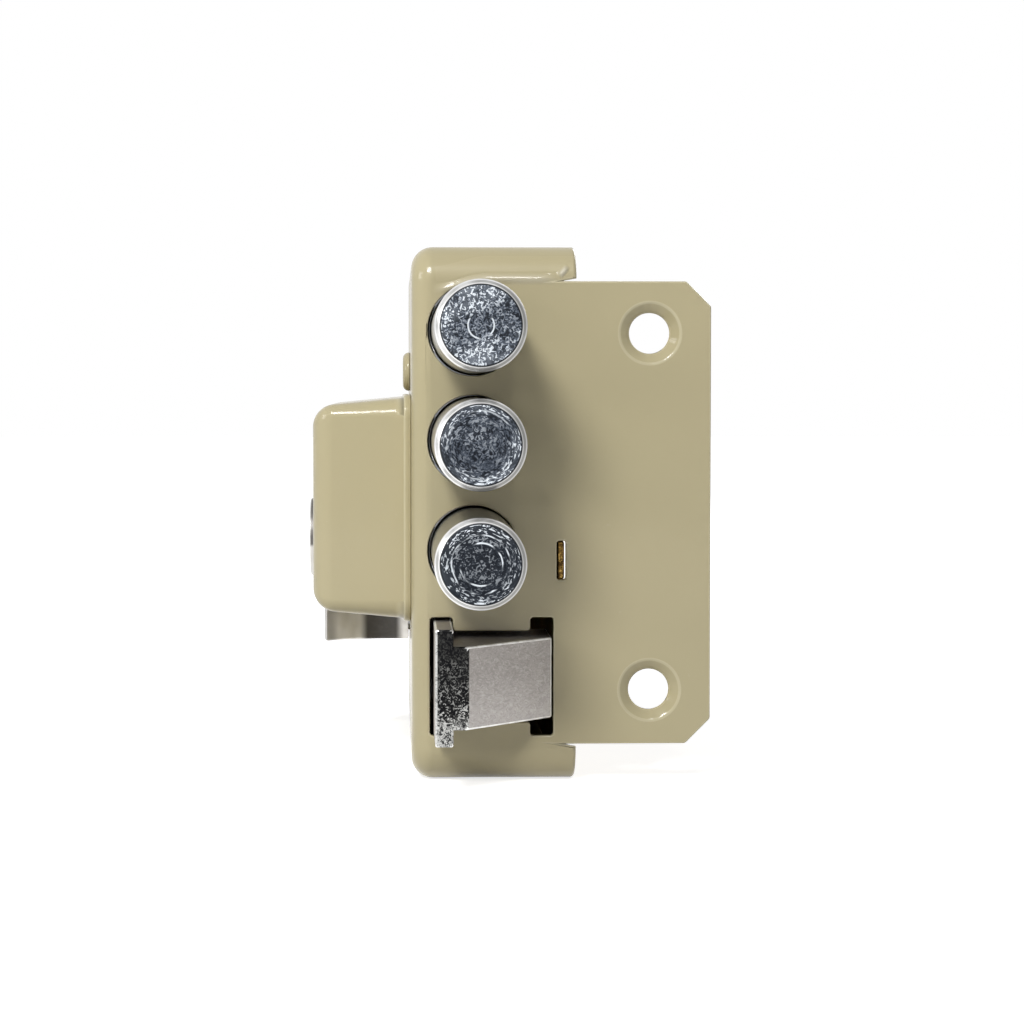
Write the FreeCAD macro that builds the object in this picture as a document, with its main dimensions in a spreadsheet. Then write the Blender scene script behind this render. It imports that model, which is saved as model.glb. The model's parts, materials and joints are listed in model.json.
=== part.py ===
import FreeCAD, Part
import math
import os
import re
import Sketcher

# Rim lock for a door leaf: a pan-shaped steel case with three round bolts, a
# bevelled spring latch and a raised housing on the room side.
# Lengths are millimetres. The origin lies midway between the two edge screws on
# the seating face of the flange. +X points to the outside of the door, +Y from
# the door edge into the leaf, +Z up.

doc = FreeCAD.newDocument("RimLock")
sheet = doc.addObject("Spreadsheet::Sheet", "Sizes")

SIZES = {
    # Case pan and flange
    "door_face": -15.3,
    "case_depth": 34.4,
    "case_reach": 96.0,
    "case_top_margin": 17.7,
    "case_bottom_margin": 22.2,
    "wall": 2.0,
    "case_corner": 7.5,
    "rim_round": 0.8,
    "case_edge": 4.5,
    "flange_reach": 12.8,
    "flange_top_inset": 7.5,
    "flange_bottom_inset": 8.2,
    "flange_chamfer": 5.2,
    "relief_length": 3.4,
    "relief_width": 0.6,
    "edge_screw_spacing": 74.6,
    "edge_screw_hole": 8.5,
    "countersink_width": 12.8,
    "countersink_angle": 105.0,
    # Bolts
    "bolt_setback": 21.3,
    "bolt_side_play": 0.3,
    "bolt_width": 18.0,
    "bolt_hole": 19.0,
    "bolt_pitch": 23.0,
    "bolt_row_height": 14.9,
    "bolt_reach": 33.4,
    "bolt_tail": 16.0,
    "bolt_chamfer": 1.25,
    "bolt_flat": 0.7,
    "bolt_screw_inset": 4.8,
    "bolt_screw": 4.0,
    "bolt_screw_head": 7.6,
    "bolt_screw_grip": 8.0,
    # Guide plate behind the face
    "guide_sheet": 5.0,
    "guide_clearance": 0.3,
    "guide_above": 10.1,
    "guide_below": 12.5,
    "guide_side": 0.3,
    "guide_cover_gap": 1.5,
    # Carriage and rack
    "carriage_sheet": 3.0,
    "carriage_gap": 0.7,
    "carriage_column": 14.6,
    "carriage_above": 8.7,
    "carriage_below": 6.9,
    "carriage_neck": 5.0,
    "arm_above": 6.3,
    "arm_overhang": 7.6,
    "rack_gaps": 18,
    "rack_gaps_behind": 2,
    "slot_corner": 2.0,
    # Gears
    "module": 0.75,
    "pressure_angle": 25.0,
    "backlash": 0.06,
    "drive_teeth": 14,
    "reduction_teeth": 32,
    "pinion_teeth": 16,
    "gear_width": 2.5,
    "gear_gap": 0.4,
    "gear_reach": 51.0,
    "cylinder_drop": 13.0,
    "gear_post": 4.0,
    "gear_post_shoulder": 7.0,
    "clip_width": 6.6,
    "clip_sheet": 0.8,
    "running_clearance": 0.06,
    # Guide stud
    "stud_reach": 52.3,
    "stud_drop": 8.2,
    "stud_width": 5.0,
    "stud_head": 9.0,
    "stud_head_height": 1.6,
    "slide_clearance": 0.3,
    # Latch
    "latch_drop": 26.5,
    "latch_reach": 16.0,
    "latch_tall": 16.9,
    "latch_side": 0.8,
    "latch_clearance": 0.3,
    "latch_nose": 6.4,
    "latch_back": 14.0,
    "latch_web": 3.7,
    "latch_flange": 23.8,
    "latch_edge": 0.5,
    "opening_near": 3.8,
    "opening_wide": 25.8,
    "opening_tall": 24.8,
    "opening_middle": 19.1,
    "opening_slot": 4.8,
    "opening_corner": 0.7,
    "opening_lift": 0.2,
    "latch_throw": 15.5,
    # Latch tail, rod and spring
    "tail_end": 64.0,
    "tail_top": 8.4,
    "tail_bottom": 3.6,
    "tail_grip": 8.0,
    "tail_rivet": 3.0,
    "fitted_gap": 0.05,
    "rod_width": 6.0,
    "rod_end": 50.0,
    "bracket_reach": 42.0,
    "bracket_sheet": 2.5,
    "bracket_foot": 9.0,
    "bracket_below": 11.6,
    "bracket_above": 6.4,
    "bracket_side": 5.0,
    "spring_wire": 0.9,
    "spring_turns": 8.0,
    "spring_clearance": 0.6,
    # Thumb piece
    "thumb_reach": 59.0,
    "thumb_span": 19.7,
    "thumb_lean": 4.3,
    "thumb_sheet": 3.2,
    "thumb_scoop": 1.8,
    "thumb_low": 1.0,
    "thumb_high": 9.75,
    "neck_width": 2.6,
    "neck_height": 4.4,
    "thumb_screw": 3.0,
    "thumb_screw_grip": 5.0,
    "thumb_round": 0.5,
    "thumb_edge": 0.6,
    # Cover
    "cover_recess": 2.5,
    "cover_sheet": 1.3,
    "cover_gap": 0.3,
    "tab_height": 7.6,
    "tab_drop": 2.0,
    "tab_recess": 0.7,
    "tab_clearance": 0.3,
    "tab_corner": 0.6,
    "tail_hole": 20.0,
    # Posts
    "door_post_inset": 10.0,
    "door_post_margin": 12.2,
    "door_post": 10.0,
    "door_spigot": 8.0,
    "door_thread": 5.0,
    "door_thread_depth": 14.0,
    "spigot_inset": 0.3,
    "cover_post": 6.0,
    "cover_post_reach": 58.0,
    "cover_post_margin": 9.6,
    "rear_post_inset": 8.0,
    "rear_post_height": -4.0,
    "cover_screw": 3.0,
    "cover_screw_head": 5.6,
    "cover_screw_head_height": 1.8,
    "cover_screw_length": 7.0,
    # Housing
    "housing_front": 10.0,
    "housing_inset": 10.0,
    "housing_gap": 0.4,
    "housing_height": 48.0,
    "housing_depth": 21.2,
    "housing_draft": 5.5,
    "housing_corner": 4.5,
    "housing_edge": 5.0,
    "housing_wall": 2.0,
    "housing_lip": 0.45,
    "housing_lip_height": 1.6,
    "housing_boss": 7.0,
    "housing_boss_side": 6.5,
    "housing_boss_margin": 9.5,
    "housing_screw": 3.0,
    "housing_screw_head": 6.4,
    "housing_screw_head_height": 1.1,
    "housing_screw_length": 9.0,
    "cylinder_seat": 20.0,
    "cylinder_seat_height": 3.0,
    # Key cylinder
    "cylinder_width": 16.0,
    "cylinder_rim": 18.3,
    "cylinder_proud": 2.3,
    "cylinder_back": 3.5,
    "plug_width": 11.0,
    "plug_head": 12.6,
    "plug_head_height": 1.2,
    "keyway_width": 1.6,
    "keyway_height": 8.2,
    "keyway_depth": 16.0,
    "nut_width": 22.0,
    "nut_height": 3.0,
    "bush_width": 12.0,
    "bush_rim": 15.0,
    "bush_rim_height": 1.2,
    "shaft_width": 7.0,
    "hub_width": 8.0,
    "hub_gap": 1.0,
    "socket_depth": 8.0,
    "blade_width": 4.4,
    "blade_sheet": 1.6,
    "blade_clearance": 0.1,
    "blade_grip": 3.0,
    "blade_reach": 5.0,
}

# Levels that follow from the sizes, as formulas of the same sheet
LEVELS = {
    "upper_height": "bolt_row_height + bolt_pitch",
    "lower_height": "bolt_row_height - bolt_pitch",
    "latch_height": "lower_height - latch_drop",
    "opening_low": "latch_height + opening_lift - opening_tall / 2",
    "opening_high": "latch_height + opening_lift + opening_tall / 2",
    "case_top": "upper_height + case_top_margin",
    "case_bottom": "latch_height - case_bottom_margin",
    "flange_top": "case_top - flange_top_inset",
    "flange_bottom": "case_bottom + flange_bottom_inset",
    "guide_top": "upper_height + guide_above",
    "guide_bottom": "lower_height - guide_below",
    "stud_height": "upper_height - stud_drop",
    "arm_top": "stud_height + arm_above",
    "arm_end": "gear_reach + arm_overhang",
    "carriage_top": "upper_height + carriage_above",
    "carriage_foot": "lower_height - carriage_below",
    "bracket_low": "latch_height - bracket_below",
    "bracket_high": "latch_height + bracket_above",
    "tab_level": "lower_height - tab_drop",
    "housing_back": "case_reach - housing_inset",
    "housing_low": "latch_height + thumb_high + housing_lip + housing_gap",
    "housing_high": "housing_low + housing_height",
    "door_post_reach": "case_reach - door_post_inset",
    "door_post_high": "case_top - door_post_margin",
    "door_post_low": "case_bottom + door_post_margin",
    "cover_post_high": "case_top - cover_post_margin",
    "cover_post_low": "case_bottom + cover_post_margin",
    "rear_post_reach": "case_reach - rear_post_inset",
}

CELLS = {name: repr(size) for name, size in SIZES.items()}
CELLS.update({name: "=" + formula for name, formula in LEVELS.items()})
for row, (name, cell) in enumerate(CELLS.items(), 1):
    sheet.set("A" + str(row), name)
    sheet.set("B" + str(row), cell)
    sheet.setAlias("B" + str(row), name)
    doc.recompute()


def bound(expression):
    """The expression with each size or level written as a cell of the sheet."""
    word = re.compile(r"[a-z_]+")
    return word.sub(lambda m: "Sizes." + m.group(0) if m.group(0) in CELLS else m.group(0), expression)


def value(expression):
    """The number that an expression over the sheet gives."""
    return float(sheet.evalExpression(bound(expression)))


# Levels that several pieces share, from the sizes
ROOM_FACE = "(door_face - case_depth)"
ROOM_INSIDE = "(door_face - case_depth + wall)"
BOLT_X = "(door_face - bolt_setback)"
BOLT_BACK = "(-wall - bolt_reach)"
FLAT_X = "(door_face - bolt_setback + bolt_width / 2 - bolt_flat)"
PLATE_X = "(door_face - bolt_setback + bolt_width / 2 - bolt_flat + carriage_sheet)"
COVER_X = "(door_face - cover_recess)"
COVER_INSIDE = "(door_face - cover_recess - cover_sheet)"
GEAR_Z = "(bolt_row_height - bolt_pitch / 2)"
RACK_Z = "(bolt_row_height - bolt_pitch / 2 + module * pinion_teeth / 2)"
GEAR_SPREAD = "(module * (drive_teeth + reduction_teeth) / 2)"
CYLINDER_Z = "(bolt_row_height - bolt_pitch / 2 - cylinder_drop)"
CYLINDER_Y = "(gear_reach + sqrt(" + GEAR_SPREAD + "^2 - cylinder_drop^2))"
SCREW_Y = "(bolt_tail - bolt_screw_inset)"
CARRIAGE_Y = "(guide_sheet + carriage_gap)"
THROW = "(4 * pi * module * pinion_teeth / 2 * drive_teeth / reduction_teeth)"
OPENING_NEAR = "(" + ROOM_FACE + " + opening_near)"
OPENING_FAR = "(" + OPENING_NEAR + " + opening_wide)"
LATCH_NEAR = "(" + OPENING_NEAR + " + latch_side)"
LATCH_FAR = "(" + OPENING_FAR + " - latch_clearance)"
ROD_X = "((" + OPENING_NEAR + " + " + OPENING_FAR + ") / 2)"
TAIL_FACE = "(" + LATCH_NEAR + " + latch_web)"
HOUSING_TOP = "(" + ROOM_FACE + " - housing_depth)"
THUMB_X = "(" + ROOM_FACE + " - slide_clearance)"
THUMB_Z = "(latch_height + (thumb_low + thumb_high) / 2)"

BOLTS = {"upper_bolt": "upper_height", "middle_bolt": "bolt_row_height", "lower_bolt": "lower_height"}
PIECES = []


def add_body(label):
    """A body for one piece, with its label as node name."""
    body = doc.addObject("PartDesign::Body", label)
    body.Label = label
    PIECES.append(body)
    return body


def origin_item(body, role):
    return [item for item in body.Origin.OriginFeatures if item.Role == role][0]


def add_sketch(body, role, level="0"):
    """A sketch on one of the body's own planes, moved along its normal."""
    sketch = body.newObject("Sketcher::SketchObject", body.Label + "_sketch")
    sketch.AttachmentSupport = [(origin_item(body, role), "")]
    sketch.MapMode = "FlatFace"
    sketch.setExpression("AttachmentOffset.Base.z", bound(level))
    return sketch


def fix_point(sketch, geometry, point, corner):
    """Holds one point of a sketch at two expressions."""
    for kind, expression in zip(("DistanceX", "DistanceY"), corner):
        index = sketch.addConstraint(
            Sketcher.Constraint(kind, -1, 1, geometry, point, value(expression)))
        sketch.setExpression("Constraints[%d]" % index, bound(expression))


def polygon(sketch, corners):
    """A closed outline of straight edges through named corners."""
    points = [FreeCAD.Vector(value(a), value(b), 0) for a, b in corners]
    first = sketch.GeometryCount
    count = len(points)
    for i in range(count):
        sketch.addGeometry(Part.LineSegment(points[i], points[(i + 1) % count]), False)
    for i in range(count):
        after = first + (i + 1) % count
        sketch.addConstraint(Sketcher.Constraint("Coincident", first + i, 2, after, 1))
    for i in range(count):
        fix_point(sketch, first + i, 1, corners[i])


def rectangle(sketch, low, high):
    corners = [low, (high[0], low[1]), high, (low[0], high[1])]
    polygon(sketch, corners)


def rounded_rectangle(sketch, low, high, radius):
    """A rectangle between two named corners, with named round corners."""
    left, bottom = value(low[0]), value(low[1])
    right, top = value(high[0]), value(high[1])
    bend = value(radius)
    flat = FreeCAD.Vector
    starts = [flat(left + bend, bottom, 0), flat(right, bottom + bend, 0),
              flat(right - bend, top, 0), flat(left, top - bend, 0)]
    ends = [flat(right - bend, bottom, 0), flat(right, top - bend, 0),
            flat(left + bend, top, 0), flat(left, bottom + bend, 0)]
    centres = [flat(right - bend, bottom + bend, 0), flat(right - bend, top - bend, 0),
               flat(left + bend, top - bend, 0), flat(left + bend, bottom + bend, 0)]
    first = sketch.GeometryCount
    for side in range(4):
        sketch.addGeometry(Part.LineSegment(starts[side], ends[side]), False)
        ring = Part.Circle(centres[side], flat(0, 0, 1), bend)
        turn = (side - 1) * math.pi / 2
        sketch.addGeometry(Part.ArcOfCircle(ring, turn, turn + math.pi / 2), False)
    for side in range(4):
        line = first + 2 * side
        after = first + (2 * side + 2) % 8
        sketch.addConstraint(Sketcher.Constraint("Tangent", line, 2, line + 1, 1))
        sketch.addConstraint(Sketcher.Constraint("Tangent", line + 1, 2, after, 1))
        sketch.addConstraint(Sketcher.Constraint("Vertical" if side % 2 else "Horizontal", line))
        if side:
            sketch.addConstraint(Sketcher.Constraint("Equal", first + 1, line + 1))
    size = sketch.addConstraint(Sketcher.Constraint("Radius", first + 1, bend))
    sketch.setExpression("Constraints[%d]" % size, bound(radius))
    sides = (("DistanceY", low[1]), ("DistanceX", high[0]), ("DistanceY", high[1]), ("DistanceX", low[0]))
    for side, (kind, expression) in enumerate(sides):
        index = sketch.addConstraint(
            Sketcher.Constraint(kind, -1, 1, first + 2 * side, 1, value(expression)))
        sketch.setExpression("Constraints[%d]" % index, bound(expression))


def circle(sketch, centre, diameter):
    """A circle at a named centre with a named diameter."""
    place = FreeCAD.Vector(value(centre[0]), value(centre[1]), 0)
    index = sketch.addGeometry(
        Part.Circle(place, FreeCAD.Vector(0, 0, 1), value(diameter) / 2), False)
    fix_point(sketch, index, 3, centre)
    size = sketch.addConstraint(Sketcher.Constraint("Diameter", index, value(diameter)))
    sketch.setExpression("Constraints[%d]" % size, bound(diameter))


def finish_feature(body, feature):
    body.Tip = feature
    doc.recompute()
    if "Invalid" in feature.State or "Error" in feature.State:
        raise RuntimeError(body.Label + ": " + feature.Name + " failed")
    return feature


def pad(body, sketch, length, reverse=False, middle=False):
    feature = body.newObject("PartDesign::Pad", body.Label + "_pad")
    feature.Profile = sketch
    feature.SideType = "Symmetric" if middle else "One side"
    feature.Reversed = reverse
    feature.setExpression("Length", bound(length))
    return finish_feature(body, feature)


def pocket(body, sketch, length, reverse=False, middle=False):
    """A cut, which has to take something away."""
    before = body.Shape.Volume
    feature = body.newObject("PartDesign::Pocket", body.Label + "_pocket")
    feature.Profile = sketch
    feature.SideType = "Symmetric" if middle else "One side"
    feature.Reversed = reverse
    feature.setExpression("Length", bound(length))
    finish_feature(body, feature)
    if body.Shape.Volume > before - 1e-6:
        raise RuntimeError(body.Label + ": a pocket cuts nothing")
    return feature


def revolve(body, sketch, role):
    feature = body.newObject("PartDesign::Revolution", body.Label + "_turned")
    feature.Profile = sketch
    feature.ReferenceAxis = (origin_item(body, role), [""])
    feature.Angle = 360
    return finish_feature(body, feature)


def repeat(body, feature, role, length, count):
    """Copies of a feature in a row along one of the body's axes."""
    row = body.newObject("PartDesign::LinearPattern", body.Label + "_row")
    row.Originals = [feature]
    row.Direction = (origin_item(body, role), [""])
    row.setExpression("Length", bound(length))
    row.setExpression("Occurrences", bound(count))
    return finish_feature(body, row)


def edge_names(shape, wanted):
    return ["Edge%d" % (i + 1) for i, edge in enumerate(shape.Edges) if wanted(edge)]


def round_edges(body, wanted, radius, kind="Fillet"):
    """Rounds or chamfers the edges of the tip that a test picks."""
    base = body.Tip
    names = edge_names(base.Shape, wanted)
    if not names:
        raise RuntimeError(body.Label + ": no edge to round")
    feature = body.newObject("PartDesign::" + kind, body.Label + "_" + kind.lower())
    feature.Base = (base, names)
    size = "Radius" if kind == "Fillet" else "Size"
    feature.setExpression(size, bound(radius))
    return finish_feature(body, feature)


def runs_along(edge, axis):
    """True for a straight edge parallel to an axis given as 0, 1 or 2."""
    if not isinstance(edge.Curve, Part.Line):
        return False
    return abs(abs(edge.tangentAt(edge.FirstParameter)[axis]) - 1) < 1e-6


def lies_at(shape, axis, level):
    box = shape.BoundBox
    low = (box.XMin, box.YMin, box.ZMin)[axis]
    high = (box.XMax, box.YMax, box.ZMax)[axis]
    return abs(low - level) < 1e-4 and abs(high - level) < 1e-4


def make_case():
    """Drawn pan with the flange turned out along the door edge."""
    body = add_body("case")
    pan = add_sketch(body, "YZ_Plane", "door_face")
    rounded_rectangle(pan, ("-wall", "case_bottom"), ("case_reach", "case_top"), "case_corner")
    pad(body, pan, "case_depth", reverse=True)
    rim = value("door_face")
    round_edges(body, lambda e: lies_at(e, 0, rim), "rim_round")
    room = value(ROOM_FACE)
    round_edges(body, lambda e: lies_at(e, 0, room), "case_edge")
    hollow = add_sketch(body, "YZ_Plane", "door_face")
    rounded_rectangle(hollow, ("0", "case_bottom + wall"), ("case_reach - wall", "case_top - wall"),
                      "case_corner - wall")
    pocket(body, hollow, "case_depth - wall")
    inside = value(ROOM_INSIDE)
    round_edges(body, lambda e: lies_at(e, 0, inside), "case_edge - wall")
    flange = add_sketch(body, "XZ_Plane")
    polygon(flange, [
        ("door_face - wall", "flange_bottom"),
        ("flange_reach - flange_chamfer", "flange_bottom"),
        ("flange_reach", "flange_bottom + flange_chamfer"),
        ("flange_reach", "flange_top - flange_chamfer"),
        ("flange_reach - flange_chamfer", "flange_top"),
        ("door_face - wall", "flange_top")])
    pad(body, flange, "wall")
    for level, away in (("flange_top", " + relief_width"), ("flange_bottom", " - relief_width")):
        slit = add_sketch(body, "XZ_Plane")
        polygon(slit, [("door_face - relief_length", level), ("door_face + wall", level),
                       ("door_face + wall", level + away), ("door_face", level + away)])
        pocket(body, slit, "4 * wall", middle=True)
    bolt_hole = add_sketch(body, "XZ_Plane")
    circle(bolt_hole, (BOLT_X + " - bolt_side_play", "lower_height"), "bolt_hole")
    first = pocket(body, bolt_hole, "4 * wall", middle=True)
    repeat(body, first, "Z_Axis", "2 * bolt_pitch", "3")
    latch_hole = add_sketch(body, "XZ_Plane")
    near = OPENING_NEAR + " + opening_slot"
    far = OPENING_FAR + " - opening_slot"
    low, high = "opening_low", "opening_high"
    floor = "latch_height + opening_lift - opening_middle / 2"
    roof = "latch_height + opening_lift + opening_middle / 2"
    polygon(latch_hole, [
        (OPENING_NEAR, low), (near, low), (near, floor), (far, floor), (far, low), (OPENING_FAR, low),
        (OPENING_FAR, high), (far, high), (far, roof), (near, roof), (near, high), (OPENING_NEAR, high)])
    pocket(body, latch_hole, "4 * wall", middle=True)
    left, right = value(OPENING_NEAR) - 0.1, value(OPENING_FAR) + 0.1
    bottom, top = value(low) - 0.1, value(high) + 0.1
    round_edges(body, lambda e: runs_along(e, 1) and left < e.CenterOfMass.x < right
                and bottom < e.CenterOfMass.z < top, "opening_corner")
    tab_hole = add_sketch(body, "XZ_Plane")
    rounded_rectangle(tab_hole, (COVER_INSIDE + " - tab_clearance", "tab_level - tab_height / 2 - tab_clearance"),
                      (COVER_X + " + tab_clearance", "tab_level + tab_height / 2 + tab_clearance"), "tab_corner")
    pocket(body, tab_hole, "4 * wall", middle=True)
    add_edge_holes(body)
    add_back_holes(body)
    return body


def add_edge_holes(body):
    """Two countersunk holes for the edge screws."""
    sketch = add_sketch(body, "XZ_Plane", "wall")
    circle(sketch, ("0", "edge_screw_spacing / 2"), "edge_screw_hole")
    circle(sketch, ("0", "-edge_screw_spacing / 2"), "edge_screw_hole")
    doc.recompute()
    hole = body.newObject("PartDesign::Hole", "case_edge_holes")
    hole.Profile = sketch
    hole.DepthType = "Dimension"
    hole.setExpression("Depth", bound("2 * wall"))
    hole.HoleCutType = "Countersink"
    hole.HoleCutCustomValues = True
    hole.setExpression("Diameter", bound("edge_screw_hole"))
    hole.setExpression("HoleCutDiameter", bound("countersink_width"))
    hole.setExpression("HoleCutCountersinkAngle", bound("countersink_angle"))
    hole.DrillPoint = "Flat"
    finish_feature(body, hole)


def add_back_holes(body):
    """Holes in the room face: cylinder bush, thumb slot, housing screws and stud."""
    sketch = add_sketch(body, "YZ_Plane", ROOM_FACE + " + wall / 2")
    circle(sketch, (CYLINDER_Y, CYLINDER_Z), "bush_width + 2 * running_clearance")
    circle(sketch, ("stud_reach", "stud_height"), "stud_width + 2 * running_clearance")
    for reach, height in housing_boss_places():
        circle(sketch, (reach, height), "housing_screw + 2 * slide_clearance")
    low = THUMB_Z + " - neck_height / 2 - slide_clearance"
    high = THUMB_Z + " + neck_height / 2 + slide_clearance"
    rectangle(sketch, ("thumb_reach - neck_width / 2 - slide_clearance", low),
              ("thumb_reach + neck_width / 2 + latch_throw + slide_clearance", high))
    pocket(body, sketch, "2 * wall", middle=True)


def housing_boss_places():
    """Centres of the four housing screws as Y and Z expressions."""
    reaches = ("housing_front + housing_boss_side", "housing_back - housing_boss_side")
    heights = ("housing_low + housing_boss_margin", "housing_high - housing_boss_margin")
    return [("(" + reach + ")", "(" + height + ")") for reach in reaches for height in heights]


def make_bolt(label, height):
    """One round bolt with a flat and a tapped hole at its tail."""
    body = add_body(label)
    body.setExpression("Placement.Base.x", bound(BOLT_X))
    body.setExpression("Placement.Base.z", bound(height))
    side = "bolt_width / 2"
    outline = add_sketch(body, "XY_Plane")
    polygon(outline, [
        ("0", BOLT_BACK),
        (side + " - bolt_chamfer", BOLT_BACK),
        (side, BOLT_BACK + " + bolt_chamfer"),
        (side, "bolt_tail - bolt_chamfer / 2"),
        (side + " - bolt_chamfer / 2", "bolt_tail"),
        ("0", "bolt_tail")])
    revolve(body, outline, "Y_Axis")
    flat = add_sketch(body, "XY_Plane")
    rectangle(flat, (side + " - bolt_flat", CARRIAGE_Y + " - slide_clearance"), (side + " + 1", "bolt_tail + 1"))
    pocket(body, flat, "bolt_width", middle=True)
    hole = add_sketch(body, "YZ_Plane", side)
    circle(hole, (SCREW_Y, "0"), "bolt_screw + 2 * fitted_gap")
    pocket(body, hole, "bolt_flat + bolt_screw_grip")


def make_bolt_guide():
    """Thick plate behind the face that carries the bolts."""
    body = add_body("bolt_guide")
    face = add_sketch(body, "XZ_Plane")
    rectangle(face, (ROOM_INSIDE + " + guide_side", "guide_bottom"),
              (COVER_INSIDE + " - guide_cover_gap", "guide_top"))
    pad(body, face, "guide_sheet", reverse=True)
    left = value(ROOM_INSIDE + " + guide_side")
    round_edges(body, lambda e: runs_along(e, 2) and lies_at(e, 0, left) and lies_at(e, 1, 0),
                "case_edge - wall", "Chamfer")
    hole = add_sketch(body, "XZ_Plane")
    circle(hole, (BOLT_X, "lower_height"), "bolt_width + 2 * guide_clearance")
    first = pocket(body, hole, "4 * guide_sheet", middle=True)
    repeat(body, first, "Z_Axis", "2 * bolt_pitch", "3")


def make_carriage():
    """Plate that joins the bolts, with the rack along its arm."""
    body = add_body("carriage")
    outline = add_sketch(body, "YZ_Plane", FLAT_X)
    front = CARRIAGE_Y
    column = CARRIAGE_Y + " + carriage_column"
    neck = CARRIAGE_Y + " + carriage_neck"
    window = GEAR_Z + " - module * (pinion_teeth / 2 + 1) - 2 * slide_clearance"
    tips = RACK_Z + " - module"
    polygon(outline, [
        (front, "carriage_foot"), (column, "carriage_foot"), (column, window), (neck, window),
        (neck, tips), ("arm_end", tips), ("arm_end", "arm_top"), (column, "arm_top"),
        (column, "carriage_top"), (front, "carriage_top")])
    pad(body, outline, "carriage_sheet")
    gap = add_sketch(body, "YZ_Plane", FLAT_X)
    centre = "(gear_reach - (rack_gaps - 1 - rack_gaps_behind) * pi * module)"
    wide = "(pi * module / 4 + module * tan(pressure_angle * 1 deg) + backlash / 2)"
    narrow = "(pi * module / 4 - 1.25 * module * tan(pressure_angle * 1 deg) + backlash / 2)"
    root = RACK_Z + " + 1.25 * module"
    polygon(gap, [
        (centre + " - " + wide, tips), (centre + " + " + wide, tips),
        (centre + " + " + narrow, root), (centre + " - " + narrow, root)])
    first = pocket(body, gap, "carriage_sheet", reverse=True)
    repeat(body, first, "Y_Axis", "(rack_gaps - 1) * pi * module", "rack_gaps")
    slot = add_sketch(body, "YZ_Plane", FLAT_X)
    half = "(stud_width / 2 + slide_clearance)"
    rounded_rectangle(slot, ("stud_reach - " + THROW + " - " + half + " - slide_clearance", "stud_height - " + half),
                      ("stud_reach + " + half + " + slide_clearance", "stud_height + " + half), "slot_corner")
    pocket(body, slot, "carriage_sheet", reverse=True)
    screws = add_sketch(body, "YZ_Plane", PLATE_X)
    for height in BOLTS.values():
        circle(screws, (SCREW_Y, height), "bolt_screw + 2 * fitted_gap")
    doc.recompute()
    hole = body.newObject("PartDesign::Hole", "carriage_holes")
    hole.Profile = screws
    hole.DepthType = "Dimension"
    hole.setExpression("Depth", bound("2 * carriage_sheet"))
    hole.HoleCutType = "Countersink"
    hole.HoleCutCustomValues = True
    hole.setExpression("Diameter", bound("bolt_screw + 2 * fitted_gap"))
    hole.setExpression("HoleCutDiameter", bound("bolt_screw_head + 2 * fitted_gap"))
    hole.HoleCutCountersinkAngle = 90
    hole.DrillPoint = "Flat"
    finish_feature(body, hole)


TURNS = {
    "+X": FreeCAD.Rotation(FreeCAD.Vector(0, 1, 0), 90),
    "-X": FreeCAD.Rotation(FreeCAD.Vector(0, 1, 0), -90),
    "+Y": FreeCAD.Rotation(FreeCAD.Vector(1, 0, 0), -90),
}


def put(item, axis, place):
    """Stands a primitive along an axis at a named place."""
    item.Placement = FreeCAD.Placement(FreeCAD.Vector(0, 0, 0), TURNS[axis])
    for letter, expression in zip("xyz", place):
        item.setExpression("Placement.Base." + letter, bound(expression))
    return item


def rod(axis, place, diameter, length):
    item = doc.addObject("Part::Cylinder", "rod")
    item.setExpression("Radius", bound("(" + diameter + ") / 2"))
    item.setExpression("Height", bound(length))
    return put(item, axis, place)


def cone(axis, place, start, end, length):
    item = doc.addObject("Part::Cone", "cone")
    item.setExpression("Radius1", bound("(" + start + ") / 2"))
    item.setExpression("Radius2", bound("(" + end + ") / 2"))
    item.setExpression("Height", bound(length))
    return put(item, axis, place)


def block(low, size):
    item = doc.addObject("Part::Box", "block")
    for name, expression in zip(("Length", "Width", "Height"), size):
        item.setExpression(name, bound(expression))
    for letter, expression in zip("xyz", low):
        item.setExpression("Placement.Base." + letter, bound(expression))
    return item


def join(items):
    item = doc.addObject("Part::MultiFuse", "joined")
    item.Shapes = items
    item.Refine = True
    return item


def carve(base, tool):
    item = doc.addObject("Part::Cut", "carved")
    item.Base = base
    item.Tool = tool
    return item


def piece(label, item):
    """Names a finished object as a node."""
    item.Label = label
    PIECES.append(item)


def group(label, items):
    """Several separate solids of one kind as one node."""
    item = doc.addObject("Part::Compound", label)
    item.Links = items
    piece(label, item)


def make_bolt_screws():
    """Countersunk screws that hold the bolts to the carriage."""
    screws = []
    sink = "(bolt_screw_head - bolt_screw) / 2"
    for height in BOLTS.values():
        head = cone("-X", (PLATE_X, SCREW_Y, height), "bolt_screw_head", "bolt_screw", sink)
        shank = rod("-X", (PLATE_X, SCREW_Y, height), "bolt_screw",
                    "carriage_sheet + bolt_screw_grip - 3 * fitted_gap")
        slot = block((PLATE_X + " - " + sink + " / 2", SCREW_Y + " - bolt_screw_head",
                      height + " - bolt_screw / 8"),
                     (sink, "2 * bolt_screw_head", "bolt_screw / 4"))
        screws.append(carve(join([head, shank]), slot))
    group("bolt_screws", screws)


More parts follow.
